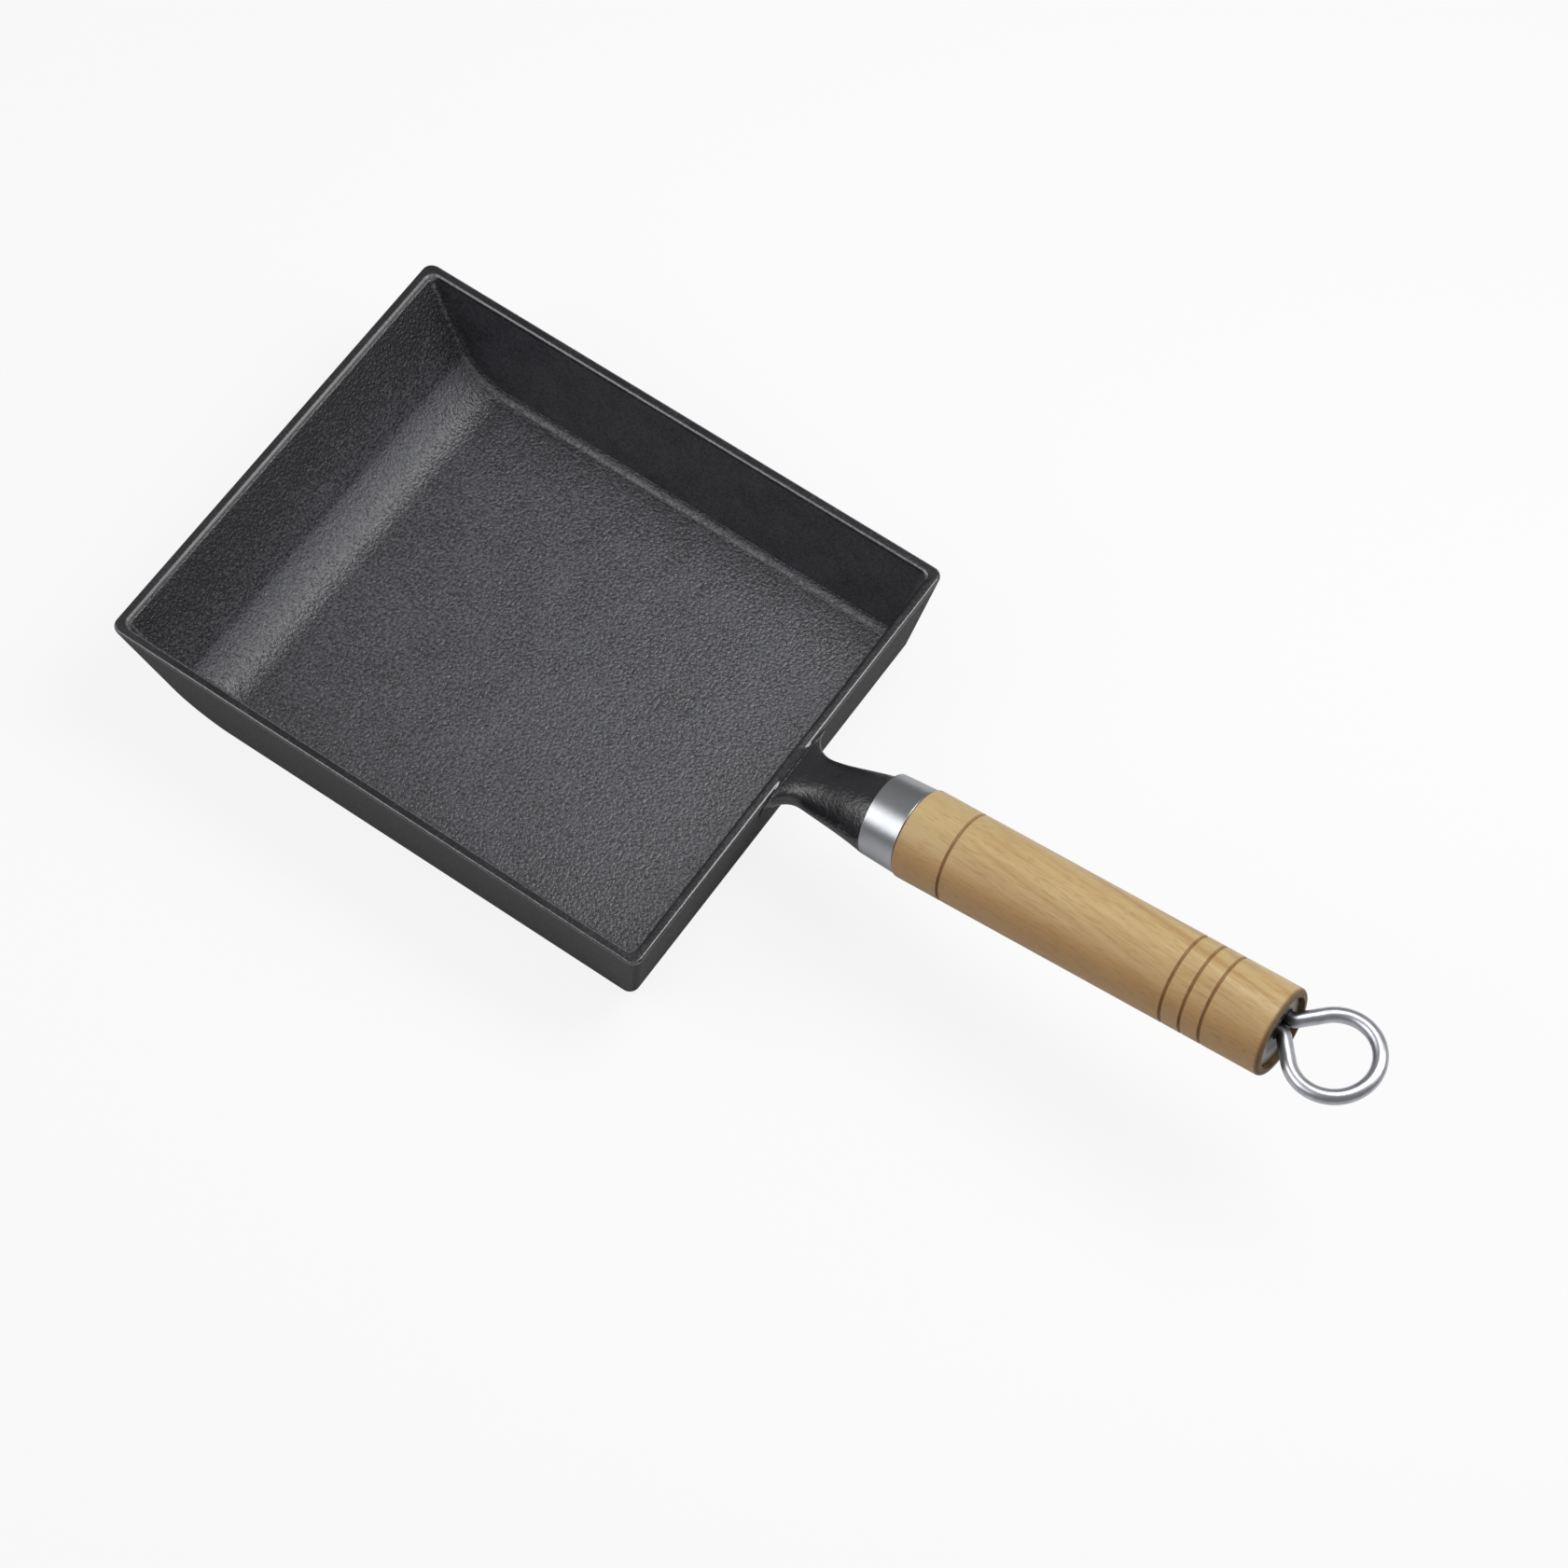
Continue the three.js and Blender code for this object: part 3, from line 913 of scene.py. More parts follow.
@dataclass
class WoodenGrip(Piece):
    """Turned grip with burnt grooves, a recessed butt and its bores."""

    name: ClassVar[str] = "turned_grip"
    body: ClassVar[str] = "pan"
    node: ClassVar[str] = "wooden_grip"
    slot: ClassVar[str] = "wood"
    sharp: ClassVar[float] = math.radians(40)

    line: HandleLine
    ferrule: Ferrule
    front_radius: float = 13.15 * MM
    butt_radius: float = 12.84 * MM
    front_edge: float = 0.6 * MM
    butt_edge: float = 1.3 * MM
    groove_width: float = 1.0 * MM
    groove_depth: float = 0.6 * MM
    front_groove: float = 14.9 * MM
    rear_pitch: float = 6 * MM
    rear_count: int = 3
    last_groove: float = 18 * MM
    recess_radius: float = 10.6 * MM
    tail_well_radius: float = 7.45 * MM
    steps: int = 128
    edge_steps: int = 6

    def radius(self, along: float) -> float:
        """Outer radius at a place along the handle."""
        share = (along - self.line.shoulder) / (self.line.butt - self.line.shoulder)
        return lerp(self.front_radius, self.butt_radius, share)

    def nose_radius(self, along: float) -> float:
        """Radius of the nose inside the ferrule at a place along the handle."""
        return self.ferrule.radius(along) - self.ferrule.thickness - self.line.gap

    def grooves(self) -> list[float]:
        """Places of the grooves along the handle, from the ferrule to the butt.

        Returns:
            The middle of each groove.
        """
        last = self.line.butt - self.last_groove
        rear = [last - self.rear_pitch * index for index in reversed(range(self.rear_count))]
        return [self.line.shoulder + self.front_groove, *rear]

    def groove(self, middle: float) -> list[ProfilePoint]:
        """Profile points of one round-bottomed groove.

        Args:
            middle: its place along the handle.

        Returns:
            Points as (place along the line, radius).
        """
        points = []
        for share in fractions(self.edge_steps):
            offset = 2 * share - 1
            place = middle + self.groove_width / 2 * offset
            points.append((place, self.radius(place) - self.groove_depth * (1 - offset**2)))
        return points

    def mesh(self) -> bpy.types.Object:
        """The grip: nose, grooved barrel, butt and bores.

        Returns:
            The mesh object.
        """
        line = self.line
        nose = line.ferrule_front + self.ferrule.thickness + line.gap
        socket = line.tang_radius + line.gap
        socket_floor = line.tang_end + line.gap
        front, back = self.radius(line.shoulder), self.radius(line.butt)
        shoulder = round_corner(End.FRONT, line.shoulder, front, self.front_edge, self.edge_steps)
        butt = round_corner(End.BACK, line.butt, back, self.butt_edge, self.edge_steps)
        piece = turned(
            [
                (nose, socket),
                (nose, self.nose_radius(nose)),
                (line.shoulder, self.nose_radius(line.shoulder)),
                *reversed(shoulder),
                *(point for middle in self.grooves() for point in self.groove(middle)),
                *butt,
                (line.butt, self.recess_radius),
                (line.recess_floor, self.recess_radius),
                (line.recess_floor, self.tail_well_radius),
                (line.tail_well_floor, self.tail_well_radius),
                (line.tail_well_floor, line.rod_hole_radius),
                (socket_floor, line.rod_hole_radius),
                (socket_floor, socket),
            ],
            self.steps,
        )
        line.settle(piece)
        return piece


@dataclass
class ButtWasher(Piece):
    """Round washer with one oblong hole for both legs of the wire."""

    name: ClassVar[str] = "slotted_washer"
    body: ClassVar[str] = "washer"
    node: ClassVar[str] = "butt_washer"
    slot: ClassVar[str] = "washer_steel"
    sharp: ClassVar[float] = math.radians(40)

    line: HandleLine
    radius: float = 10.3 * MM
    slot_radius: float = 2.45 * MM
    edge: float = 0.25 * MM
    broken_over: float = math.radians(60)
    sides: int = 96
    edge_steps: int = 3

    def mesh(self) -> bpy.types.Object:
        """Two rings bridged to a plate, given its thickness and broken edges.

        Returns:
            The mesh object.
        """
        pick_out_none()
        bpy.ops.mesh.primitive_circle_add(vertices=self.sides, radius=self.radius, location=(0, 0, 0))
        piece = bpy.context.object
        with Bench(piece) as bench:
            bpy.ops.mesh.select_all(action="DESELECT")
            bpy.ops.mesh.primitive_circle_add(
                vertices=self.sides, radius=self.slot_radius, location=(0, 0, 0)
            )
            inner = 2 * self.slot_radius
            bench.select(
                Kind.VERTICES, lambda vertex: vertex.co.xy.length < inner and vertex.co.y > SAME_PLACE
            )
            bench.move((0, self.line.leg_pitch, 0))
            bench.select(Kind.EDGES, lambda edge: True)
            bpy.ops.mesh.bridge_edge_loops()
            bench.select_all()
            bench.extrude((0, 0, self.line.washer_back - self.line.washer_front))
            bench.close_up()
            bench.select(
                Kind.EDGES,
                lambda edge: len(edge.link_faces) == 2 and edge.calc_face_angle() > self.broken_over,
            )
            bench.round_off(self.edge, self.edge_steps)
            bench.close_up()
        front = Matrix.Translation((self.line.washer_front, 0, 0))
        piece.data.transform(front @ Matrix.Rotation(QUARTER_TURN, 4, "Y"))
        self.line.settle(piece)
        return piece


@dataclass
class HangingLoop(Piece):
    """Hanging loop and long rod, bent from one wire."""

    name: ClassVar[str] = "wire_loop"
    body: ClassVar[str] = "loop"
    node: ClassVar[str] = "hanging_loop"
    slot: ClassVar[str] = "wire_steel"
    sharp: ClassVar[float] = math.radians(50)

    line: HandleLine
    radius: float = 2.13 * MM
    eye_radius: float = 11.9 * MM
    eye_offset: float = 0.9 * MM
    bend_radius: float = 2.6 * MM
    leg: float = 7.2 * MM
    sides: int = 32
    bend_steps: int = 20
    eye_steps: int = 120

    @property
    def reach(self) -> float:
        """Distance from the centre of a bend to the centre of the eye."""
        return math.hypot(self.eye_radius + self.bend_radius, self.leg)

    @property
    def eye_side(self) -> float:
        """Sideways place of the eye's centre."""
        return self.line.leg_pitch / 2 - self.eye_offset

    def to_eye(self, side: float) -> float:
        """Distance along the handle from a bend's centre, at a sideways place, to the eye's."""
        return math.sqrt(self.reach**2 - (side - self.eye_side) ** 2)

    def mesh(self) -> bpy.types.Object:
        """The wire: rod, bend, leg, round eye, leg, bend and tail, extruded and spun in turn.

        Returns:
            The mesh object.
        """
        line = self.line
        splay = math.atan2(self.eye_radius + self.bend_radius, self.leg)
        rod_side = -self.bend_radius
        tail_side = line.leg_pitch + self.bend_radius
        rod_bend = line.washer_back + line.gap
        eye = rod_bend + self.to_eye(rod_side)
        tail_bend = eye - self.to_eye(tail_side)
        rod_turn = splay - math.asin((self.eye_side - rod_side) / self.reach)
        tail_turn = splay - math.asin((tail_side - self.eye_side) / self.reach)
        out = Vector((math.cos(rod_turn), -math.sin(rod_turn), 0))
        home = Vector((-math.cos(tail_turn), -math.sin(tail_turn), 0))
        pick_out_none()
        bpy.ops.mesh.primitive_circle_add(
            vertices=self.sides,
            radius=self.radius,
            fill_type="NGON",
            location=(line.rod_tip, 0, 0),
            rotation=(0, QUARTER_TURN, 0),
        )
        piece = bpy.context.object
        bpy.ops.object.transform_apply(location=True, rotation=True, scale=True)
        with Bench(piece) as bench:
            bench.select_all()
            bench.extrude((rod_bend - line.rod_tip, 0, 0))
            bench.spin(-rod_turn, (rod_bend, rod_side, 0), Axis.Z, self.bend_steps)
            bench.extrude(out * self.leg)
            bench.spin(math.pi + rod_turn + tail_turn, (eye, self.eye_side, 0), Axis.Z, self.eye_steps)
            bench.extrude(home * self.leg)
            bench.spin(-tail_turn, (tail_bend, tail_side, 0), Axis.Z, self.bend_steps)
            bench.extrude((line.tail_tip - tail_bend, 0, 0))
            bench.close_up()
        line.settle(piece)
        return piece


@dataclass(frozen=True)
class Region:
    """What a region of the casting adds to its tone, its roughness and the depth of its grain."""

    tone: float = 0.0
    rough: float = 0.0
    depth: float = 0.0

    def share(self, quality: Quality) -> float:
        """What the region adds to one quality."""
        return getattr(self, quality.value)


@dataclass(frozen=True)
class CastIron:
    """Seasoned iron: pebbled inside, matt outside, smooth on rim and neck, with painted highlights along
    the creases and the rim's side shoulders (partly rim wear), and painted light and shade across the
    inside.
    """

    pan: PanCasting
    dark: Colour = (0.008, 0.008, 0.0105)
    light: Colour = (0.072, 0.073, 0.086)
    # Lighter colour of the painted highlights along the creases and the rim's shoulders, partly rim wear
    highlight_and_wear_colour: Colour = (0.15, 0.15, 0.158)
    pebbles: Noise = Noise.even(1 / (0.95 * MM), 1.0)
    sand: Noise = Noise.even(1 / (0.45 * MM), 1.0)
    mottle: Noise = Noise.even(1 / (9 * MM), 3.0, 0.6)
    lumps: Noise = Noise.even(1 / (5 * MM), 1.0)
    pebble_share: float = 0.7
    grain_contrast: Span = (1.6, 3.8)
    mottle_tone: float = 0.7
    mottle_rough: Span = (-0.05, 0.05)
    relief: float = 0.46 * MM
    lump_depth: float = 0.9
    specular: float = 0.9

    # What each region adds
    everywhere: Region = Region(tone=0.13, rough=0.41, depth=0.6)
    inside: Region = Region(tone=0.06, depth=0.4)
    # Inside brighter towards the handle: painted light
    painted_light_towards_handle: Region = Region(tone=1.1)
    # Floor darker by the far wall: painted shadow of the far wall
    painted_far_wall_shade: Region = Region(tone=-0.15)
    slope: Region = Region(rough=0.09, depth=0.45)
    # Lighter band up the front sweep: painted highlight
    sweep: Region = Region(tone=0.6)
    # Sloping front wall darker higher up: painted shade where its highlight fades
    painted_upper_wall_shade: Region = Region(tone=-0.65)
    outside: Region = Region(tone=-0.6, rough=0.4)
    handle_wall: Region = Region(rough=0.19)
    rim: Region = Region(tone=-0.5, rough=-0.17, depth=-0.48)
    front_rim: Region = Region(rough=0.14)
    neck: Region = Region(tone=-0.7, rough=-0.07, depth=-0.1)

    # Where regions, painted highlights and painted shade fade in, by place, by the surface's direction or
    # by the grain
    neck_start: float = 0.4 * MM
    rim_below_top: Span = (1.6 * MM, 0.8 * MM)
    inside_upward: Span = (0.2, 0.42)
    slope_upward: Span = (0.97, 0.75)
    sweep_highlight_upward: Span = (0.45, 0.62)
    upper_wall_shade_height: Span = (14 * MM, 38 * MM)
    far_wall_shade_across: Span = (42 * MM, 62 * MM)
    front_along: Span = (-60 * MM, -80 * MM)
    outward_reach: Span = (0.0, 20 * MM)
    handle_facing: Span = (0.5, 0.9)
    crease_sideways: tuple[Span, Span] = ((0.25, 0.4), (0.75, 0.55))
    # Rim shoulders that face the sides: partly rim wear, partly painted highlight
    shoulder_sideways: tuple[Span, Span] = ((0.15, 0.35), (0.9, 0.7))
    grain_breakup_span: Span = (0.38, 0.62)
    # How much the grain breaks up the painted crease highlight and the rim shoulders' highlight and wear
    crease_highlight_cover: Span = (0.1, 0.7)
    shoulder_highlight_and_wear_cover: Span = (0.35, 0.85)

    def total(self, regions: Sequence[tuple[Socket, Region]], quality: Quality) -> Socket:
        """Adds up one quality over the casting.

        Args:
            regions: each region with the mask that shows where it is.
            quality: what is added up.

        Returns:
            The sum at a point.
        """
        shares = [(mask, region.share(quality)) for mask, region in regions]
        return sum((mask * share for mask, share in shares if share), self.everywhere.share(quality))

    def material(self) -> bpy.types.Material:
        """The finish as a material.

        Returns:
            The material.
        """
        tree = NodeTree.of_material("seasoned_cast_iron")
        place, facing = tree.place(), tree.facing()
        along, across, height = tree.parts_of(place)
        endways, sideways, upward = tree.parts_of(facing)
        to_either_side = abs(sideways)
        rim_low, rim_high = (self.pan.height - drop for drop in self.rim_below_top)
        on_pan = along.ramp(self.pan.length / 2 + self.neck_start, self.pan.length / 2)
        on_neck = 1 - on_pan
        rim = height.ramp(rim_low, rim_high) * on_pan
        below_rim = on_pan * (1 - rim)
        inside = upward.ramp(*self.inside_upward) * below_rim
        slope = upward.ramp(*self.slope_upward) * inside
        outward = tree.node(
            "ShaderNodeVectorMath",
            {"operation": "DOT_PRODUCT"},
            {0: facing, 1: tree.stretched(place, (1, 1, 0))},
            output="Value",
        ).ramp(*self.outward_reach)
        outside = outward * below_rim
        regions = (
            (inside, self.inside),
            # Painted light, brighter towards the handle
            (inside * along, self.painted_light_towards_handle),
            # Painted shadow of the far wall
            (inside * across.ramp(*self.far_wall_shade_across), self.painted_far_wall_shade),
            (slope, self.slope),
            # Painted highlight up the front sweep
            (slope * upward.ramp(*self.sweep_highlight_upward), self.sweep),
            # Painted shade higher up the sloping front wall
            (height.ramp(*self.upper_wall_shade_height) * inside, self.painted_upper_wall_shade),
            (outside, self.outside),
            (endways.ramp(*self.handle_facing) * outside, self.handle_wall),
            (rim, self.rim),
            (rim * along.ramp(*self.front_along), self.front_rim),
            (on_neck, self.neck),
        )
        grain = tree.noise(place, self.pebbles).mixed_with(tree.noise(place, self.sand), self.pebble_share)
        mottle = tree.noise(place, self.mottle)
        contrast = inside.between(*self.grain_contrast)
        tone, rough, depth = (self.total(regions, quality) for quality in Quality)
        shade = (grain - NOISE_MEAN) * contrast + mottle * self.mottle_tone + tone
        colour = tree.blend(shade, self.dark, self.light)
        grain_breakup = grain.ramp(*self.grain_breakup_span)
        crease, shoulder = (
            to_either_side.ramp(*rising) * to_either_side.ramp(*falling)
            for rising, falling in (self.crease_sideways, self.shoulder_sideways)
        )
        # Painted highlight along the inside creases
        painted_crease_highlight = crease * (1 - outward) * below_rim * grain_breakup.between(*self.crease_highlight_cover)
        # Painted highlight with some rim wear on the rim shoulders that face the sides
        shoulder_wear_and_highlight = shoulder * rim * grain_breakup.between(*self.shoulder_highlight_and_wear_cover)
        for lightened in (painted_crease_highlight, shoulder_wear_and_highlight):
            colour = tree.blend(lightened, colour, self.highlight_and_wear_colour)
        lumps = tree.noise(place, self.lumps) * on_neck * self.lump_depth
        return tree.finish({
            "Base Color": colour,
            "Roughness": mottle.between(*self.mottle_rough) + rough,
            "Normal": tree.bump(grain * depth + lumps, self.relief),
            "Specular IOR Level": self.specular,
        })


@dataclass(frozen=True)
class DrawnSteel:
    """Satin drawn steel with fine lines round the piece."""

    line: HandleLine
    colour: Colour = (0.47, 0.48, 0.50)
    dull: Colour = (0.39, 0.40, 0.42)
    lines: Noise = Noise(9000, 60)
    smudge: Noise = Noise.even(260, 3.0, 0.6)
    smudge_share: float = 0.6
    rough: float = 0.31
    line_rough: Span = (-0.05, 0.05)
    smudge_rough: Span = (-0.04, 0.04)
    metallic: float = 1.0
    relief: float = 0.012 * MM
    relief_strength: float = 0.5

    def material(self) -> bpy.types.Material:
        """The finish as a material.

        Returns:
            The material.
        """
        tree = NodeTree.of_material("drawn_steel")
        own = self.line.own_place(tree)
        lines = tree.noise(own, self.lines)
        smudge = tree.noise(own, self.smudge)
        uneven = lines.between(*self.line_rough) + smudge.between(*self.smudge_rough)
        return tree.finish({
            "Base Color": tree.blend(smudge.mixed_with(lines, self.smudge_share), self.colour, self.dull),
            "Roughness": self.rough + uneven,
            "Metallic": self.metallic,
            "Normal": tree.bump(lines, self.relief, self.relief_strength),
        })


@dataclass(frozen=True)
class TurnedWood:
    """Pale straight-grained wood, waxed, with burnt grooves, and painted shade on its lower side, at the
    butt's end and round its recess.
    """

    line: HandleLine
    grip: WoodenGrip
    pale: Colour = (0.468, 0.342, 0.164)
    warm: Colour = (0.365, 0.224, 0.088)
    # Warmer, darker colour on the grip's lower side: painted shade
    shaded_side_colour: Colour = (0.46, 0.258, 0.103)
    pore: Colour = (0.26, 0.14, 0.050)
    burnt: Colour = (0.18, 0.075, 0.028)
    # Dark colour at the butt's end and round its recess: painted shade
    butt_shade_colour: Colour = (0.075, 0.036, 0.016)

    # How the wood grew
    grain_tilt: Point = (0.0, math.radians(-2), math.radians(4.5))
    ring_tilt: Point = (0.0, math.radians(-5), math.radians(9))
    pith: Point = (0.0, 9 * MM, -24 * MM)
    ring_pitch: float = 2.6 * MM
    ring_waver: float = 1.2
    figure: Noise = Noise(16, 150, 3.0, 0.55)
    fibres: Noise = Noise(85, 1500, 3.0, 0.6)
    flecks: Noise = Noise(260, 1700, 1.0)
    pores: Noise = Noise(130, 2600, 1.0)

    # How much of each colour shows, and where
    figure_tone: float = 0.35
    fibre_tone: float = 0.3
    ring_tone: float = 0.35
    ferrule_tone: float = -0.15
    ferrule_reach: float = 30 * MM
    warm_tone: Span = (0.36, 0.68)
    shaded_side_across: Span = (-3 * MM, -12 * MM)
    shaded_side_share: float = 0.8
    fleck_noise: Span = (0.56, 0.72)
    fleck_share: float = 0.32
    pore_noise: Span = (0.60, 0.74)
    pore_share: float = 0.42
    burn_width: Span = (1.25, 0.55)
    burn_cover: Span = (0.35, 0.95)
    butt_shade_reach: Span = (1.5 * MM, 0.3 * MM)
    recess_shade_reach: Span = (0.4 * MM, 0.1 * MM)
    butt_shade_cover: Span = (0.65, 0.95)

    # How the surface shines and feels
    fibre_rough: Span = (0.32, 0.48)
    scorch_rough: float = 0.2
    burn_scorch: float = 0.7
    pore_depth: float = 0.8
    relief: float = 0.05 * MM
    relief_strength: float = 0.6
    specular: float = 0.42

    def material(self) -> bpy.types.Material:
        """The finish as a material.

        Returns:
            The material.
        """
        tree = NodeTree.of_material("turned_pale_wood")
        own = self.line.own_place(tree)
        along, across, _ = tree.parts_of(own)
        split = tree.node("ShaderNodeMapping", sockets={"Vector": own, "Rotation": self.grain_tilt})
        figure, fibres = tree.noise(split, self.figure), tree.noise(split, self.fibres)
        flecks = tree.noise(split, self.flecks).ramp(*self.fleck_noise)
        pores = tree.noise(split, self.pores).ramp(*self.pore_noise)
        heart = {"Vector": own, "Location": self.pith, "Rotation": self.ring_tilt}
        depth = tree.off_axis(tree.node("ShaderNodeMapping", sockets=heart))
        rings = tree.bands(depth / self.ring_pitch + figure * self.ring_waver)
        near_ferrule = along.ramp(self.line.shoulder + self.ferrule_reach, self.line.shoulder)
        tone = figure * self.figure_tone + fibres * self.fibre_tone + rings * self.ring_tone
        tone = tone + near_ferrule * self.ferrule_tone
        burn = functools.reduce(Socket.at_least, [
            abs(along - place).ramp(*(share * self.grip.groove_width / 2 for share in self.burn_width))
            for place in self.grip.grooves()
        ])
        recess = tree.off_axis(own).ramp(*(self.grip.recess_radius + out for out in self.recess_shade_reach))
        # Painted shade at the butt's end and round the recess
        edge = along.ramp(*(self.line.butt - back for back in self.butt_shade_reach)).at_least(recess)
        colour = tree.blend(tone.ramp(*self.warm_tone), self.pale, self.warm)
        for share, stain in (
            # Painted shade on the grip's lower side
            (across.ramp(*self.shaded_side_across) * self.shaded_side_share, self.shaded_side_colour),
            ((flecks * self.fleck_share).at_least(pores * self.pore_share), self.pore),
            (burn * figure.between(*self.burn_cover), self.burnt),
            (edge * fibres.between(*self.butt_shade_cover), self.butt_shade_colour),
        ):
            colour = tree.blend(share, colour, stain)
        # Rougher in the burnt grooves and where the butt's shade is painted
        groove_burn_and_butt_shade = (burn * self.burn_scorch).at_least(edge)
        grain = fibres - pores * self.pore_depth
        return tree.finish({
            "Base Color": colour,
            "Roughness": fibres.between(*self.fibre_rough) + groove_burn_and_butt_shade * self.scorch_rough,
            "Normal": tree.bump(grain, self.relief, self.relief_strength),
            "Specular IOR Level": self.specular,
        })


@dataclass(frozen=True)
class DullZinc:
    """Dull zinc-plated steel with faint turning marks, with painted shade round its hole."""

    line: HandleLine
    colour: Colour = (0.36, 0.355, 0.33)
    dark: Colour = (0.22, 0.215, 0.2)
    # Dark colour round the hole where the wire enters: painted shade
    entry_shade_colour: Colour = (0.05, 0.05, 0.045)
    marks_per_metre: float = 5200
    stain: Noise = Noise.even(420, 3.0, 0.6)
    stain_share: float = 0.7
    entry_shade_radius: Span = (7.5 * MM, 5 * MM)
    entry_shade_waver: Span = (-1.5 * MM, 1.5 * MM)
    entry_shade_share: float = 0.85
    rough: Span = (0.32, 0.52)
    metallic: float = 0.9
    relief: float = 0.02 * MM
    relief_strength: float = 0.5

    def material(self) -> bpy.types.Material:
        """The finish as a material.

        Returns:
            The material.
        """
        tree = NodeTree.of_material("dull_zinc")
        own = self.line.own_place(tree)
        distance = tree.off_axis(own)
        marks = tree.bands(distance * self.marks_per_metre)
        stain = tree.noise(own, self.stain)
        colour = tree.blend(stain.mixed_with(marks, self.stain_share), self.colour, self.dark)
        # Painted shade round the hole
        entry_shade = (distance + stain.between(*self.entry_shade_waver)).ramp(*self.entry_shade_radius)
        return tree.finish({
            "Base Color": tree.blend(entry_shade * self.entry_shade_share, colour, self.entry_shade_colour),
            "Roughness": stain.between(*self.rough),
            "Metallic": self.metallic,
            "Normal": tree.bump(marks, self.relief, self.relief_strength),
        })


@dataclass(frozen=True)
class BrightWire:
    """Bright plated wire, a little smudged, with painted shade where it enters the washer."""

    line: HandleLine
    colour: Colour = (0.57, 0.58, 0.62)
    dull: Colour = (0.44, 0.45, 0.49)
    # Dark colour where the wire enters the washer: painted shade
    entry_shade_colour: Colour = (0.06, 0.06, 0.065)
    smudge: Noise = Noise.even(330, 4.0, 0.6)
    dull_smudge: Span = (0.35, 0.75)
    entry_shade_reach: float = 3 * MM
    entry_shade_share: float = 0.85
    rough: Span = (0.282, 0.402)
    metallic: float = 1.0
    relief: float = 0.006 * MM
    relief_strength: float = 0.3

    def material(self) -> bpy.types.Material:
        """The finish as a material.

        Returns:
            The material.
        """
        tree = NodeTree.of_material("bright_wire")
        own = self.line.own_place(tree)
        along, _, _ = tree.parts_of(own)
        smudge = tree.noise(own, self.smudge)
        colour = tree.blend(smudge.ramp(*self.dull_smudge), self.colour, self.dull)
        # Painted shade where the wire enters the washer
        entry_shade = along.ramp(self.line.butt + self.entry_shade_reach, self.line.butt)
        return tree.finish({
            "Base Color": tree.blend(entry_shade * self.entry_shade_share, colour, self.entry_shade_colour),
            "Roughness": smudge.between(*self.rough),
            "Metallic": self.metallic,
            "Normal": tree.bump(smudge, self.relief, self.relief_strength),
        })


def put_in_scene(name: str, data: bpy.types.Light | bpy.types.Camera, place: Point) -> bpy.types.Object:
    """Makes an object of a lamp or a camera and links it to the scene.

    Args:
        name: the object's name.
        data: the lamp or the camera.
        place: where it stands.

    Returns:
        The new object.
    """
    thing = bpy.data.objects.new(name, data)
    bpy.context.scene.collection.objects.link(thing)
    thing.location = place
    return thing


@dataclass(frozen=True)
class Lamp:
    """One softbox."""

    name: str
    place: Point
    aim: Point
    size: tuple[float, float]
    power: float

    def light(self) -> None:
        """Hangs the softbox and turns it to what it lights."""
        data = bpy.data.lights.new(self.name, "AREA")
        data.shape = "RECTANGLE"
        data.size, data.size_y = self.size
        data.energy = self.power
        lamp = put_in_scene(self.name, data, self.place)
        lamp.rotation_euler = (Vector(self.aim) - Vector(self.place)).to_track_quat("-Z", "Y").to_euler()


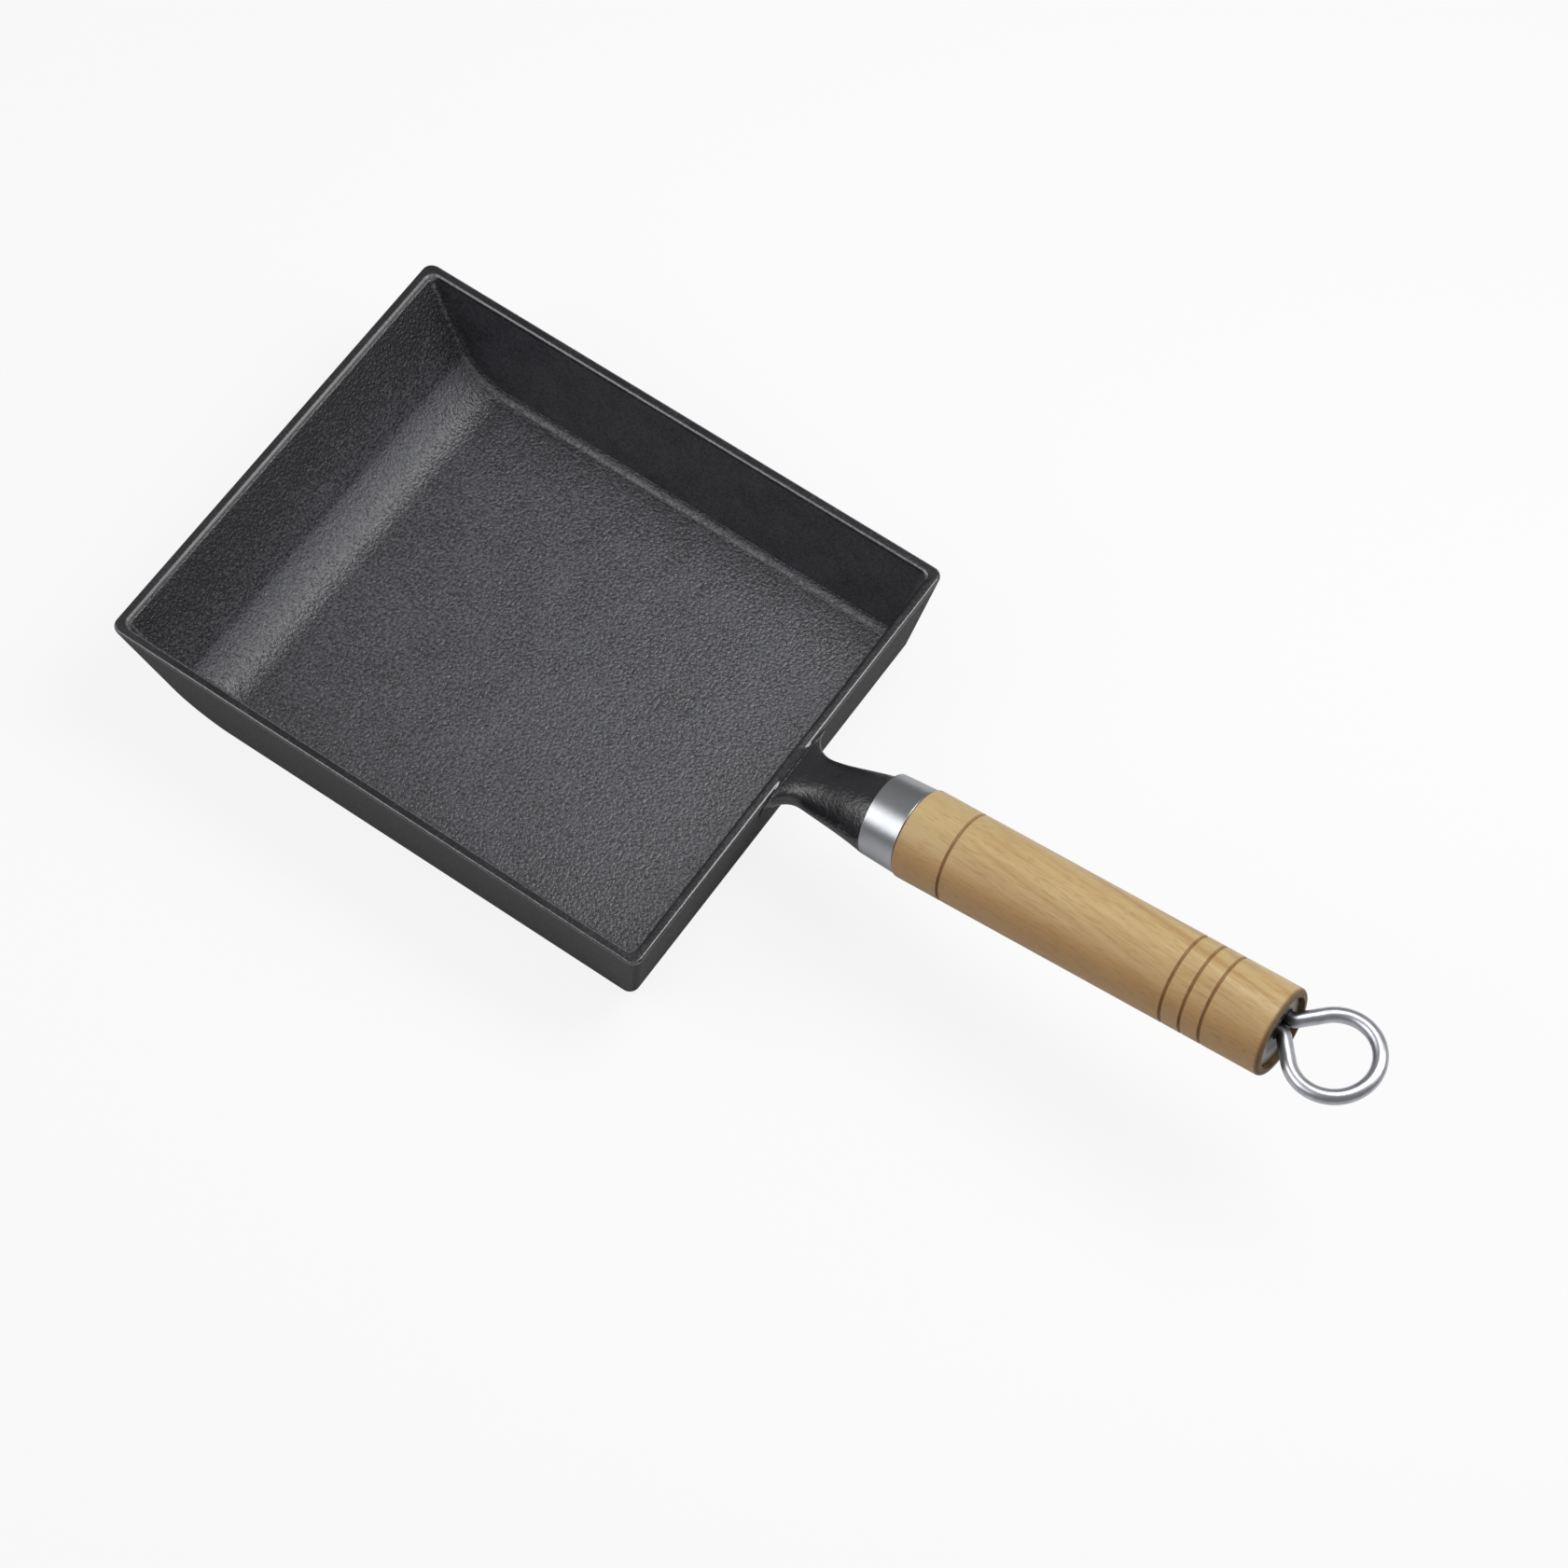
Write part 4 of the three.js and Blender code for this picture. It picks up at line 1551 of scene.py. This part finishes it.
@dataclass
class Studio:
    """White floor, soft light and the camera of the photograph."""

    camera_place: Point = (0.38517, -0.42622, 1.08068)
    camera_turn: Point = (math.radians(26.23), 0.0, math.radians(34.98))
    lens: float = 97.68
    sensor: float = 36.0
    floor_size: float = 8.0
    floor_drop: float = 0.1 * MM
    sky: float = 0.17
    horizon: float = 0.88
    paper: float = 0.7
    shown: float = 0.86
    mirrored: float = 0.08
    lamps: tuple[Lamp, ...] = (
        Lamp("key_softbox", (0.20, 0.19, 0.55), (0.02, 0.0, 0.0), (0.30, 0.30), 2.1),
        Lamp("side_softbox", (-0.55, -0.52, 0.72), (0.05, 0.0, 0.04), (0.95, 0.6), 4.9),
        Lamp("handle_softbox", (0.45, 0.23, 0.38), (-0.07, 0.0, 0.01), (0.30, 0.40), 0.97),
    )

    def camera(self) -> None:
        """Sets the camera where the photograph was taken from."""
        data = bpy.data.cameras.new("photo_camera")
        data.lens = self.lens
        data.sensor_width = self.sensor
        camera = put_in_scene("photo_camera", data, self.camera_place)
        camera.rotation_euler = self.camera_turn
        bpy.context.scene.camera = camera

    def seen(self, tree: NodeTree) -> Socket:
        """How white the surroundings are to a ray.

        Args:
            tree: the nodes of the floor or the sky.

        Returns:
            A share that is large from the camera, small off gloss or through glass, and otherwise 0.
        """
        camera, gloss, glass = (
            tree.node("ShaderNodeLightPath", output=name)
            for name in ("Is Camera Ray", "Is Glossy Ray", "Is Transmission Ray")
        )
        return (camera * self.shown).at_least(gloss.at_least(glass) * self.mirrored)

    def floor(self) -> None:
        """A white floor that shows white to the camera and keeps the object's shadow."""
        pick_out_none()
        bpy.ops.mesh.primitive_plane_add(size=self.floor_size, location=(0, 0, -self.floor_drop))
        floor = bpy.context.object
        floor.name = "studio_floor"
        tree = NodeTree.of_material("white_floor")
        grey = (self.paper, self.paper, self.paper, 1.0)
        paper = tree.node("ShaderNodeBsdfDiffuse", sockets={"Color": grey})
        white = tree.node("ShaderNodeEmission", sockets={"Color": WHITE, "Strength": 1.0})
        mixed = tree.node("ShaderNodeMixShader", sockets={0: self.seen(tree), 1: paper, 2: white})
        tree.node("ShaderNodeOutputMaterial", sockets={"Surface": mixed})
        floor.data.materials.append(tree.owner)

    def world(self) -> None:
        """A plain white sky, at full strength only where it is seen."""
        tree = NodeTree(bpy.data.worlds.new("white_sky"))
        bpy.context.scene.world = tree.owner
        strength = self.sky + self.seen(tree) / self.shown * (self.horizon - self.sky)
        sky = tree.node("ShaderNodeBackground", sockets={"Color": WHITE, "Strength": strength})
        tree.node("ShaderNodeOutputWorld", sockets={"Surface": sky})

    def set_up(self) -> None:
        """Puts up the whole studio."""
        bpy.context.scene.view_settings.view_transform = "Standard"
        self.camera()
        self.floor()
        self.world()
        for lamp in self.lamps:
            lamp.light()


def main() -> None:
    """Builds every piece around the frame, then the studio."""
    logging.basicConfig(level=logging.INFO, format="%(name)s %(message)s")
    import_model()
    line = HandleLine()
    pan = PanCasting(line)
    ferrule = Ferrule(line)
    grip = WoodenGrip(line, ferrule)
    pan.dress(CastIron(pan))
    ferrule.dress(DrawnSteel(line))
    grip.dress(TurnedWood(line, grip))
    ButtWasher(line).dress(DullZinc(line))
    HangingLoop(line).dress(BrightWire(line))
    Studio().set_up()


if __name__ == "__main__":
    main()
